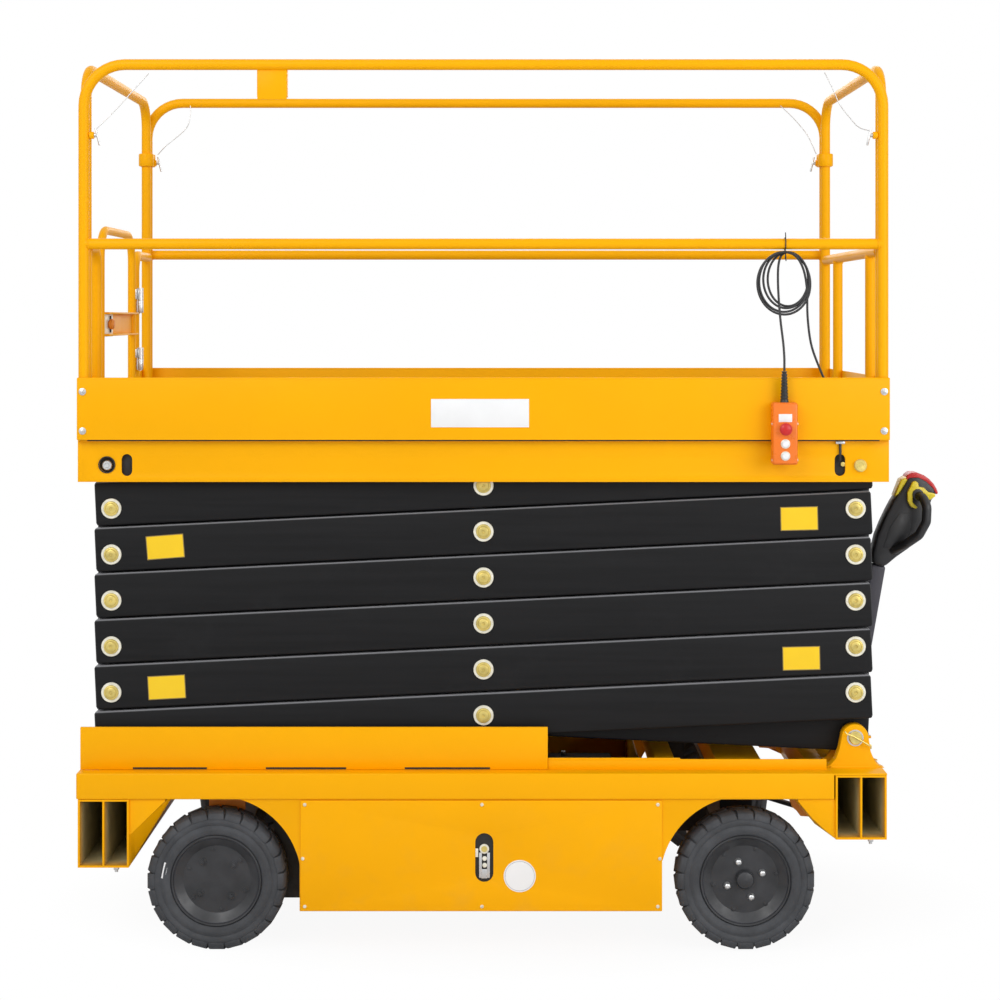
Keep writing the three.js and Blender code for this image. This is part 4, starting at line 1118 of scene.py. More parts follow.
class LIFT_OT_cylinders(bpy.types.Operator):
    """Lift cylinders: barrels with welded ports and chromed rods"""

    bl_idname = "lift.cylinders"
    bl_label = "Lift cylinders"

    def execute(self, context):
        for number, stage in ((1, 1), (2, 4)):
            foot = arm_turn(stage, True) @ Vector((FOOT_PIN_X, 0.0, 0.0))
            head = arm_turn(stage + 1, True) @ Vector((HEAD_EYE[0], 0.0, HEAD_EYE[1]))
            along = head - foot
            place = Matrix.Translation(foot) @ Matrix.Rotation(-math.atan2(along.z, along.x), 4, "Y")
            long = along.length
            barrel = Piece(place)
            barrel.turned([(18.5, -28), (36, -28), (36, 28), (18.5, 28)], (0, 0, 0), "arm", 36, "Y")
            barrel.box((22, 58), (-26, 26), (-28, 28), "arm", bevel=4.0)
            barrel.turned(
                [(32, 50.0), (41, 50.0), (45, 54.0), (45, 716.0), (48, 722.0), (50, 728.0), (50, 776.0),
                 (47, 780.0),
                 (27.0, 780.0), (27.0, 740.0), (32, 740.0)], (0, 0, 0), "arm", 40, "X")
            barrel.turned([(0.001, 49.5), (41, 49.5), (41, 60.0), (0.001, 60.0)], (0, 0, 0), "arm", 40, "X")
            for x in (96.0, 700.0):
                barrel.post(x, 0, (40, 62), 13.0, "arm", sides=20, bevel=1.0)
                barrel.post(x, 0, (60, 74), 11.0, "steel", sides=6, bevel=1.0)
            barrel.done(f"cylinder_barrel_{number}", f"cylinder_{number}_barrel", "charcoal",
                        f"lift_cylinder_{number}_barrel")
            rod = Piece(place)
            rod.bar((200, 0, 0), (long - 30, 0, 0), 26.0, "chrome", sides=40)
            rod.turned([(0.001, -28), (36, -28), (36, 28), (0.001, 28)], (long, 0, 0), "arm", 36, "Y")
            rod.bar((long - 62, 0, 0), (long - 26, 0, 0), 31.0, "arm", sides=36, bevel=2.0)
            rod.done(f"cylinder_rod_{number}", f"cylinder_{number}_rod", "chrome",
                     f"lift_cylinder_{number}_rod")
        return {"FINISHED"}


class LIFT_OT_base_frame(bpy.types.Operator):
    """Base beams, cross members, roller tracks, pivot brackets and the fixed pivot shaft"""

    bl_idname = "lift.base_frame"
    bl_label = "Base frame"

    def execute(self, context):
        piece = Piece()
        low, top = BEAM_Z
        for _, s in SIDES:
            piece.box((-1218, 1050), span(s, 545, 605), BEAM_Z, bevel=4.0, steps=3)
            piece.box((-1180, 60), span(s, 422.5, 472.5), (top - 2, LOW_PIN_Z - 34), bevel=2.0)
            piece.box((194, 1036), span(s, 540.5, 546), (top - 4, top + 30), bevel=1.6)
            piece.box((194, 594), span(s, 541, 546.5), (top + 26, top + 34), bevel=1.6)
            for ys in ((480, 520), (397, 417)):
                piece.plate(self.bracket(), span(s, *ys), bevel=1.6)
            for y in (478.0, 522.0):
                piece.bar((1052, s * y, top + 1), (1200, s * y, top + 1), 4.0, "paint", sides=8)
            self.lock(piece, s)
        for x, wide in ((-1188, 60), (-560, 60), (-60, 60), (560, 60), (1020, 60),
                        (REAR_WHEEL_X, 140), (FRONT_WHEEL_X, 140)):
            piece.box(about(x, wide), (-604.5, 604.5), (low + 0.5, top - 0.5), bevel=3.0)
        piece.box((1045, 1208), (-605, 605), (top - 6, top), bevel=1.5)
        piece.box((1138, 1257), (-70, 70), (top - 5.5, top + 3), bevel=2.0)
        piece.across(HALF_SPAN, LOW_PIN_Z, (-521, 521), 25.0, "steel", sides=32)
        scatter(piece, hex_bolt(8, 6, 12), [(x, y, top + 3) for x in (1152, 1244) for y in (-56, 56)])
        piece.done("base_frame_finished", "base", "yellow", "base_frame")
        return {"FINISHED"}

    @staticmethod
    def bracket():
        r = 41.0
        arc = [(HALF_SPAN + r * math.cos(a), LOW_PIN_Z + r * math.sin(a))
               for a in (math.pi * i / 14 for i in range(15))]
        return [(1216, 535), (1200, 541), (1186, 556), (1174, 585), *arc, (1079, 592), (1068, 562),
                (1052, 545),
                (1034, 535)]

    @staticmethod
    def lock(piece, s):
        """The shaft's end: a gold pin with a bent wire through it."""
        piece.knob(s, [(0.001, 0), (18, 0), (20, 2.0), (20, 8.0), (17, 11.0), (0.001, 11.0)],
                   (HALF_SPAN, s * 520.0, LOW_PIN_Z), "pin", 32)
        y = s * 534.0
        wire = [(1093, y, 648), (1100, y, 640), (1118, y, 634), (1150, y, 616), (1166, y, 606),
                (1172, y, 610),
                (1172, y, 596)]
        tubes(piece, [wire], 2.4, 5.0, "pin", 8)


class LIFT_OT_covers(bpy.types.Operator):
    """Folded covers over the lower roller tracks"""

    bl_idname = "lift.covers"
    bl_label = "Track covers"

    def execute(self, context):
        for side, s in SIDES:
            piece = Piece()
            z = (537.3, 665.0)
            piece.box((-1216, 194), span(s, 547, 552), z, bevel=1.4)
            piece.box((-1216, 194), span(s, 542, 551.5), (660, 664.8), bevel=1.2)
            # it rests unevenly: dark strips of painted shade in the gaps along its lower edge
            for gap in ((-1057, -834), (-656, -414), (-237, 20)):
                piece.box(gap, span(s, 551.5, 552.6), (538.5, 544), "dark", bevel=0)
            piece.done(f"cover_{side}", "base", "yellow", f"track_cover_{side}")
        return {"FINISHED"}


class LIFT_OT_pockets(bpy.types.Operator):
    """Outrigger pockets at both ends, with their folded gussets"""

    bl_idname = "lift.pockets"
    bl_label = "Outrigger pockets"

    def execute(self, context):
        self.pair("rear", (-1213, -1060), (255, BOX_TOP), -1100,
                  [(-1061, BOX_TOP), (-1061, 348), (-952, 452.7), (-952, BOX_TOP)],
                  [(-1061, 348), (-945, 458), (-936, 458), (-1061, 258)])
        self.pair("front", (1054, 1207), (339, 530.7), 1161,
                  [(1055, 339), (1055, BOX_TOP), (943, BOX_TOP), (943, 451), (985, 400), (1020, 368)],
                  [(1052, 341), (943, 455), (930, 455), (1000, 372)])
        return {"FINISHED"}

    def pair(self, end, xs, zs, bolt_x, gusset, skirt):
        piece = Piece()
        (x0, x1), (z0, z1) = xs, zs
        middle = (x0 + x1) / 2
        for x in ((x0, x0 + 6), (middle - 3, middle + 3), (x1 - 6, x1)):
            piece.box(x, (-605, 605), (z0, z1), bevel=1.2)
        for z in ((z0, z0 + 6), (z1 - 6, z1)):
            piece.box((x0 + 0.4, x1 - 0.4), (-604.5, 604.5), (z[0] + 0.2, z[1] - 0.2), bevel=0)
        # painted shade: liners inside each tunnel, and a dark plate across its middle that stops the view
        # through
        for a, b in ((x0 + 6, middle - 3), (middle + 3, x1 - 6)):
            for x in ((a - 0.4, a + 0.5), (b - 0.5, b + 0.4)):
                piece.box(x, (-601, 601), (z0 + 6, z1 - 6), "tunnel", bevel=0)
            for z in ((z0 + 5.6, z0 + 6.6), (z1 - 6.6, z1 - 5.6)):
                piece.box((a, b), (-601, 601), z, "tunnel", bevel=0)
            piece.box((a, b), (-3, 3), (z0 + 6, z1 - 6), "dark", bevel=0)
        for _, s in SIDES:
            piece.plate(gusset, span(s, 590, 598), bevel=1.2)
            flange = [(*p, s * y) for p, y in zip(skirt, (596, 596, 545, 545))]
            self.sheet(piece, [(x, y, z) for x, z, y in flange], s)
            piece.post(bolt_x, s * 588, (z0 - 16, z0), 5.0, "steel", sides=14)
            piece.post(bolt_x, s * 588, (z0 - 9, z0 - 1), 9.0, "steel", sides=6, bevel=0.8)
        piece.done(f"pockets_{end}", "base", "yellow", f"{end}_outrigger_pockets")

    @staticmethod
    def sheet(piece, corners, s):
        """A folded flange between four corners, 4 mm thick."""
        part = bmesh.new()
        near = [part.verts.new(c) for c in corners]
        back = [part.verts.new((x, y - s * 4.0, z)) for x, y, z in corners]
        part.faces.new(near)
        part.faces.new(back[::-1])
        for i in range(4):
            part.faces.new((near[i], back[i], back[(i + 1) % 4], near[(i + 1) % 4]))
        bmesh.ops.recalc_face_normals(part, faces=list(part.faces))
        piece.take(part, "paint")


class LIFT_OT_chassis(bpy.types.Operator):
    """Chassis box with wheel arches, its doors and the power pack inside"""

    bl_idname = "lift.chassis"
    bl_label = "Chassis box and doors"

    def execute(self, context):
        z0, z1 = 123.0, BOX_TOP
        piece = Piece()
        piece.box((-550, 505), (-594, 594), (z0, z0 + 5), "paint", bevel=1.0)
        for x in ((-550, -545), (500, 505)):
            piece.box(x, (-594, 594), (z0, z1), "paint", bevel=1.0)
        for _, s in SIDES:
            piece.plate(self.side_outline(), span(s, 593, 598), bevel=1.2)
            # painted shade: dark liners behind the rear arches and beside the front axle
            piece.box((-640, -552), span(s, 468, 472), (z0 + 5, z1), "dark", bevel=1.0)
            piece.box((560, 690), span(s, 378, 382), (310, z1), "dark", bevel=1.0)
        piece.done("chassis_box_finished", "base", "yellow", "chassis_box")
        for side, s in SIDES:
            self.door(side, s)
        pack = Piece()
        for i in range(4):
            x = -480 + i * 230
            pack.box((x + 4, x + 226), (-430, -6), (128.5, 380), "black", bevel=8.0)
            pack.box((x + 4, x + 226), (6, 430), (128.5, 380), "black", bevel=8.0)
            for y in (-380, -50, 50, 380):
                pack.post(x + 60, y, (380, 396), 9.0, "steel", sides=16, bevel=1.0)
        pack.done("batteries", "base", "black", "power_pack")
        return {"FINISHED"}

    @staticmethod
    def side_outline():
        reach = 257.0

        def arch(x, start, end, count=16):
            turn = [math.radians(start + (end - start) * i / count) for i in range(count + 1)]
            return [(x + reach * math.cos(a), WHEEL_R + reach * math.sin(a)) for a in turn]

        top = math.degrees(math.asin((BOX_TOP - WHEEL_R) / reach))
        return [*arch(REAR_WHEEL_X, top, 14), (-550, 262), (-550, 123), (535, 123), (535, 272),
                *arch(FRONT_WHEEL_X, 165, 180 - top)]

    @staticmethod
    def door(side, s):
        piece = Piece()
        ys = span(s, 598.3, 603.3)
        z = (126.0, 455.7)
        slot = slot_outline(3.0, 285.0, 54.0, 146.0)
        frame = [(-547, z[0]), (535, z[0]), (535, z[1]), (-547, z[1])]
        piece.plate(frame, ys, holes=[slot], bevel=1.2)
        # painted shade: a dark sheet behind the slot
        piece.box((-40, 44), span(s, 598.1, 598.6), (200, 366), "dark", bevel=0)
        # catch in the slot
        piece.across(3, 311, (s * 598.5, s * 604), 14.5, "washer", sides=32, bevel=1.5)
        piece.across(3, 311, (s * 604, s * 604.8), 9.0, "pin", sides=24)
        for x in ((-13, -4), (11, 20)):
            piece.box(x, span(s, 598.5, 602.5), (224, 300), "steel", bevel=2.0)
        piece.box((-6, 12), span(s, 598.5, 600.5), (222, 250), "steel", bevel=1.0)
        for h in (282, 262):
            piece.across(4, h, (s * 598.5, s * 603), 7.0, "washer", sides=20, bevel=1.0)
        piece.box((-24, -15), span(s, 598.5, 602), (286, 312), "washer", bevel=1.5)
        screws = [(x, s * 603.3, h) for x in (-534, -4, 522) for h in (z[0] + 13, z[1] - 12)]
        screws += [(x, s * 603.3, 282.0) for x in (-540, 528)]
        scatter(piece, screw_head(), screws, FACE_OUT[s], "washer")
        if s < 0:
            piece.across(109, 230, (s * 603.2, s * 604.4), 48.0, "white", sides=48)
            piece.knob(s, [(43, 603.6), (45, 603.6), (45, 604.7), (43, 604.7)], (109, 0, 230), "steel", 48)
        piece.done(f"doors_{side}", "base", "yellow", f"side_panel_{side}")


class LIFT_OT_running_gear(bpy.types.Operator):
    """Axles, steering knuckles and tie rod"""

    bl_idname = "lift.running_gear"
    bl_label = "Axles and steering"

    def execute(self, context):
        rear = Piece()
        x = REAR_WHEEL_X
        rear.box(about(x, 80), (-400, 400), about(WHEEL_R, 80), "arm", bevel=6.0, steps=3)
        rear.box(about(x, 160), (-400, 400), (446.7, BOX_TOP), "arm", bevel=1.5)
        for _, s in SIDES:
            rear.box(about(x, 100), span(s, 340, 360), (WHEEL_R, 448), "arm", bevel=2.0)
            rear.box((x - 36, x + 74), span(s, 470, 486), (400, 458), "bracket", bevel=2.0)
            rear.box((x - 60, x + 84), span(s, 400, 484), (446, 458), "arm", bevel=2.0)
            rear.across(x, WHEEL_R, span(s, 395, 500), 22.0, "steel", sides=32)
            rear.across(x, WHEEL_R, span(s, 400, 416), 44.0, "arm", sides=32, bevel=2.0)
            scatter(rear, hex_bolt(9, 7, 13), [(x + a, s * 360.5, h) for a in (-32, 32) for h in (300, 410)],
                    FACE_OUT[s])
        rear.done("rear_axle_finished", "base", "charcoal", "rear_axle")

        front = Piece()
        x = FRONT_WHEEL_X
        front.box(about(x, 80), (-360, 360), about(WHEEL_R, 80), "arm", bevel=6.0, steps=3)
        front.box(about(x, 160), (-400, 400), (446.7, BOX_TOP), "arm", bevel=1.5)
        for _, s in SIDES:
            front.box(about(x, 100), span(s, 320, 340), (WHEEL_R, 448), "arm", bevel=2.0)
            for z in ((154.5, 171.5), (250.5, 267.5)):
                front.box(about(x, 60), span(s, 320, 470), z, "arm", bevel=4.0)
            front.post(x, s * 440, (149, 273), 14.0, "steel", sides=24)
            front.post(x, s * 440, (268, 279), 21.0, "steel", sides=6, bevel=1.5)
            front.box((x - 110, x - 62), span(s, 470, 484), (429, 458), "bracket", bevel=2.0)
            front.box((x - 60, x + 62), span(s, 474, 486), (430, 458), "bracket", bevel=2.0)
            # link bar to the front pocket's bracket
            front.bar((x + 40, s * 486, 450), (x + 158, s * 486, 414), 8.0, "arm", sides=16)
            front.plate([(x + 142, 458), (x + 164, 458), (x + 180, 428), (x + 236, 388), (x + 236, 380),
                         (x + 178, 384), (x + 166, 400), (x + 152, 412), (x + 142, 440)], span(s, 488, 500),
                         "bracket", bevel=1.5)
            front.post(x + 196, s * 488, (398, 408), 8.0, "steel", sides=6, bevel=0.8)
        front.done("front_axle_finished", "base", "charcoal", "front_axle")

        for side, s in SIDES:
            knuckle = Piece()
            y = s * 440
            knuckle.turned([(14.5, 173), (30, 173), (30, 249), (14.5, 249)], (x, y, 0), "arm", 36, "Z")
            knuckle.across(x, WHEEL_R, span(s, 460, 500), 32.0, "arm", sides=32, bevel=2.0)
            knuckle.across(x, WHEEL_R, span(s, 455, 510), 22.0, "steel", sides=32)
            knuckle.box((x - 138, x - 24), span(s, 400, 436), (203, 219), "arm", bevel=4.0)
            knuckle.post(x - 120, s * 410, (196, 219), 12.0, "steel", sides=6, bevel=1.0)
            knuckle.done(f"knuckle_{side}_finished", f"knuckle_{side}", "charcoal",
                         f"steering_knuckle_{side}")
        rod = Piece()
        z = 236.3
        rod.across(x - 120, z, (-396, 396), 12.0, "steel", sides=28)
        for _, s in SIDES:
            rod.post(x - 120, s * 410, (z - 17, z + 9), 17.0, "steel", sides=28, bevel=3.0)
            rod.post(x - 120, s * 410, (z + 9, z + 14), 10.0, "steel", sides=6, bevel=1.0)
            rod.across(x - 120, z, span(s, 350, 372), 15.0, "steel", sides=6, bevel=1.0)
        rod.done("tie_rod_finished", "tie_rod", "zinc", "tie_rod")
        return {"FINISHED"}


class LIFT_OT_wheels(bpy.types.Operator):
    """Solid tyres with shoulder lugs on bolted steel rims"""

    bl_idname = "lift.wheels"
    bl_label = "Wheels"

    def execute(self, context):
        lug = template("tread_lug", self.lug)
        stud = template("rim_stud", lambda p: (
            p.post(0, 0, (0, 2), 7.0, "rim", sides=20, bevel=0.6),
            p.post(0, 0, (2, 6), 4.0, "rim", sides=6, bevel=0.6)))
        bolt = template("wheel_bolt", lambda p: (
            p.post(0, 0, (0, 2.5), 11.0, "rim", sides=24, bevel=0.6),
            p.post(0, 0, (2.5, 10), 8.0, "lip", sides=6, bevel=1.2),
            p.post(0, 0, (10, 14), 4.0, "lip", sides=12, bevel=0.6)))
        nut = template("wheel_nut", lambda p: (
            p.turned([(0.001, 0), (11.5, 0), (11.5, 3), (9.5, 8), (8.0, 14), (4, 17), (0.001, 17)], (0, 0, 0),
                     "steel", 18, "Z"),))
        for axle, x in (("rear", REAR_WHEEL_X), ("front", FRONT_WHEEL_X)):
            for side, s in SIDES:
                body = f"wheel_{axle}_{side}"
                place = Matrix.Translation((x, s * WHEEL_Y, WHEEL_R))
                if s < 0:
                    place = place @ Matrix.Rotation(math.pi, 4, "Z")
                self.tyre(place, lug, axle, side, body)
                self.rim(place, bolt, nut, stud, axle, side, body)
        return {"FINISHED"}

    @staticmethod
    def lug(p):
        """One shoulder block: x runs outwards, z along the axle, slanted across the tread."""
        half = math.pi * WHEEL_R / sizes().tread_lugs * 0.86
        part = bmesh.new()
        corners = []
        for z, shift, x_top in ((6.0, 9.0, -2.6), (36.0, 2.0, -3.0), (50.0, 0.0, -8.6), (56.0, 0.0, -21.0)):
            corners.append([part.verts.new(c) for c in (
                (-27.0, -half + shift, z), (x_top, -half + 1.0 + shift, z),
                (x_top, half - 1.0 + shift, z), (-27.0, half + shift, z))])
        skin(part, corners)
        part.faces.new(corners[0][::-1])
        part.faces.new(corners[-1])
        bmesh.ops.recalc_face_normals(part, faces=list(part.faces))
        soften(part, 1.4, 1, 25.0)
        p.take(part, "tyre")

    @staticmethod
    def tyre(place, lug, axle, side, body):
        piece = Piece(place)
        crown = WHEEL_R - sizes().lug_depth * 1000
        half = [(136.3, 46), (139, 49.5), (145, 51.5), (152, 54.2), (159, 54.4), (164, 51.6), (167, 51.2),
                (170, 53.4),
                (176, 54.8), (184, 54.6), (190, 50), (197, 42), (crown, 30)]
        profile = half + [(crown, 0)] + [(r, -h) for r, h in reversed(half)]
        piece.turned(profile[::-1], (0, 0, 0), "tyre", 96, "Y")
        to_axle = Matrix.Rotation(math.radians(-90), 4, "X")
        mirrored = Matrix.Rotation(math.pi, 4, "X")
        count = sizes().tread_lugs
        ring(piece, lug, count, WHEEL_R, to_axle, "tyre")
        ring(piece, lug, count, WHEEL_R, to_axle @ mirrored, "tyre", start=math.pi / count)
        if axle == "rear":
            stripe = Matrix.Rotation(math.radians(-12), 4, "Y")
            piece.box((151, 163), (53.0, 54.2), (-24, 24), "white", bevel=0.5, matrix=stripe)
        piece.done(f"tyre_{axle}_{side}_finished", body, "tyre", f"tyre_{axle}_{side}", angle=38.0)

    @staticmethod
    def rim(place, bolt, nut, stud, axle, side, body):
        piece = Piece(place)
        front = axle == "front"
        disc_y = 26.0
        profile = [(22.9, -30), (60, -26), (105, -20), (111, -40), (131, -48), (136, -48), (136, 49),
                   (133.5, 51.5),
                   (130, 50.5), (128, 48), (127, 45)]
        piece.turned([(127.5, 46), (125, 41), (118, 35), (116, 31), (112, 27.5), (110, disc_y)][::-1],
                     (0, 0, 0),
                     "lip", 72, "Y")
        piece.turned([(111, disc_y + 0.5), (109, disc_y - 1.5), (106, disc_y - 1.5), (104, disc_y),
                      (22.0, disc_y), (0.001, disc_y)][::-1], (0, 0, 0), "rim", 72, "Y")
        piece.turned(profile[::-1], (0, 0, 0), "rim", 72, "Y")
        face = Matrix.Translation((0, disc_y, 0)) @ Matrix.Rotation(math.radians(-90), 4, "X")
        if front:
            piece.turned([(0.001, 20), (24, 20), (27.5, 28), (27.5, 38), (24, 44), (16, 47.5),
                          (0.001, 49)][::-1],
                         (0, 0, 0), "rim", 36, "Y")
            ring(piece, nut, 4, 56.0, face, "steel", start=math.radians(20))
            ring(piece, stud, 6, 96.0, face, "rim", start=math.radians(10))
        else:
            ring(piece, bolt, 4, 67.0, face, "rim", start=math.radians(40))
            ring(piece, stud, 6, 90.0, face, "rim", start=math.radians(98))
        piece.done(f"rim_{axle}_{side}_finished", body, "charcoal", f"wheel_rim_{axle}_{side}")


class LIFT_OT_deck(bpy.types.Operator):
    """Checkered deck plate, its frame and the toe boards"""

    bl_idname = "lift.deck"
    bl_label = "Work platform"

    def execute(self, context):
        self.floor_plate()
        self.frame()
        self.toe_boards()
        return {"FINISHED"}

    @staticmethod
    def floor_plate():
        piece = Piece()
        piece.box((-1174.7, 1174.7), (-537.7, 537.7), (1554, 1560), "deck", bevel=0.8)
        bar = template("checker_bar", LIFT_OT_deck.bar_shape)
        pitch = 44.0
        even, odd = [], []
        for i in range(-26, 27):
            for j in range(-12, 13):
                spot = (i * pitch, j * pitch, DECK_TOP)
                if abs(spot[0]) < 1150 and abs(spot[1]) < 520:
                    (even if (i + j) % 2 else odd).append(spot)
        scatter(piece, bar, even, (0, 0, math.radians(45)), "deck")
        scatter(piece, bar, odd, (0, 0, math.radians(-45)), "deck")
        piece.done("checker_deck", "platform", "decking", "deck")

    @staticmethod
    def bar_shape(p):
        part = bmesh.new()
        low = [part.verts.new((16 * c, 4.2 * d, -0.1)) for c, d in ((-1, 0), (0, -1), (1, 0), (0, 1))]
        top = [part.verts.new((9 * c, 1.6 * d, 1.5)) for c, d in ((-1, 0), (0, -1), (1, 0), (0, 1))]
        skin(part, [low, top])
        part.faces.new(top)
        p.take(part, "deck")

    def frame(self):
        piece = Piece()
        low, high = SKIRT_Z
        for _, s in SIDES:
            slots = [slot_outline(x, 1456.0, 32.0, 66.0) for x in (-1074, 1074)]
            holes = [disc(-1134, 1457, 23.0, 32)]
            piece.plate([(-1222, low - 2), (1222, low - 2), (1222, high), (-1222, high)], span(s, 552, 560),
                        bevel=1.2,
                        holes=[*slots, *holes])
            piece.box((-1221, 1221), span(s, 560, 566), (high - 26, high), bevel=1.5)
            # painted shadow: a dark strip under the toe boards' lower edge
            piece.box((-1190, 1190), span(s, 560.2, 577), (1529, 1534), "dark", bevel=0)
            piece.box((-1221, 1221), span(s, 536, 556), (low - 2, low + 4), bevel=1.5)
            # painted shade: dark sheets behind the slots and the pin hole
            for x in (-1074, 1074):
                piece.box((x - 40, x + 40), span(s, 543, 547), (1412, 1500), "dark", bevel=0)
            piece.box((-1175, -1095), span(s, 543, 547), (1412, 1500), "dark", bevel=0)
            self.pins(piece, s)
            track = TOP_PIN_Z + 34
            piece.box((-1190, 0), span(s, 480, 540), (track, track + 8), bevel=1.5)
            piece.box((-1190, 0), span(s, 532, 541), (track, 1549), bevel=1.5)
            piece.plate([(HALF_SPAN - 60, 1550), (HALF_SPAN - 40, TOP_PIN_Z - 40),
                         (HALF_SPAN + 40, TOP_PIN_Z - 40),
                         (HALF_SPAN + 60, 1550)], span(s, 397, 417), bevel=1.5,
                        holes=[disc(HALF_SPAN, TOP_PIN_Z, 25.6, 32)])
        for x, wide in ((-1187, 50), (-720, 50), (-240, 50), (240, 50), (720, 50), (HALF_SPAN, 120),
                        (1187, 50)):
            piece.box(about(x, wide), (-553, 553), (1548, 1553.7), bevel=1.0)
            piece.box(about(x, wide - 1), (-415, 415), (1506, 1552), bevel=2.0)
        for s in (-1, 1):
            piece.box(span(s, 1206, 1212), (-554, 554), (low + 72, high), bevel=1.2)
        rim = [(-1215, -578), (1215, -578), (1215, 578), (-1215, 578)]
        gap = [(-1175, -538), (1175, -538), (1175, 538), (-1175, 538)]
        piece.plate(rim, (high - 3, DECK_TOP), bevel=0.8, holes=[gap], axes="xy")
        piece.done("deck_frame_finished", "platform", "yellow", "deck_frame")

    @staticmethod
    def pins(piece, s):
        for x, radius, back, key in ((-1134, 15.0, 548.0, "steel"), (HALF_SPAN + 8, 19.0, 560.0, "pin")):
            profile = [(0.001, 0), (radius, 0), (radius, 8.0), (radius * 0.86, 10.5), (radius * 0.5, 10.5),
                       (radius * 0.4, 9.0), (0.001, 9.0)]
            piece.knob(s, profile, (x, s * back, 1455.0), key, 36)
        # painted shade: a dark ring at the rim of the pin hole
        piece.knob(s, [(22.5, 0), (25.5, 0), (25.5, 3.0), (22.5, 3.0)], (-1134, s * 559.5, 1457.0), "dark",
                   40)
        # a bent hook that holds the deck extension's slot
        hook = 1074.0
        piece.box((hook - 14, hook + 14), span(s, 560, 570), (1520, 1529), "steel", bevel=2.0)
        tubes(piece, [[(hook, s * 564, 1522), (hook, s * 566, 1490), (hook + 1, s * 554, 1470)]], 4.0, 6.0,
              "black", 12)
        piece.across(hook + 10, 1458.0, span(s, 547, 557), 7.0, "pin", sides=20, bevel=1.5)

    @staticmethod
    def toe_boards():
        piece = Piece()
        z = (1533.0, 1719.0)
        for _, s in SIDES:
            piece.box((-1220.3, 1220.3), span(s, 578.3, 583.3), z, bevel=1.6, steps=3)
            piece.bar((-1218, s * 580.8, z[1] - 2.0), (1218, s * 580.8, z[1] - 2.0), 3.2, "paint", sides=12)
        piece.box((1215.3, 1220.3), (-579, 579), z, bevel=1.6)
        piece.box((-1220.3, -1215.3), (-579, 579), (1533, 1563.5), bevel=1.2)
        for _, s in SIDES:
            piece.box((-1220.3, -1215.3), span(s, 387, 579), z, bevel=1.2)
            screws = [(x, s * 583.3, h) for x in (-1203, 1203) for h in (1560, 1678)]
            scatter(piece, hex_bolt(7.0, 5.0, 11.0), screws, FACE_OUT[s])
        piece.box((-157, 137), (-585.2, -583.2), (1571, 1656), "white", bevel=0.8)
        piece.done("toe_boards_finished", "platform", "yellow", "toe_boards")


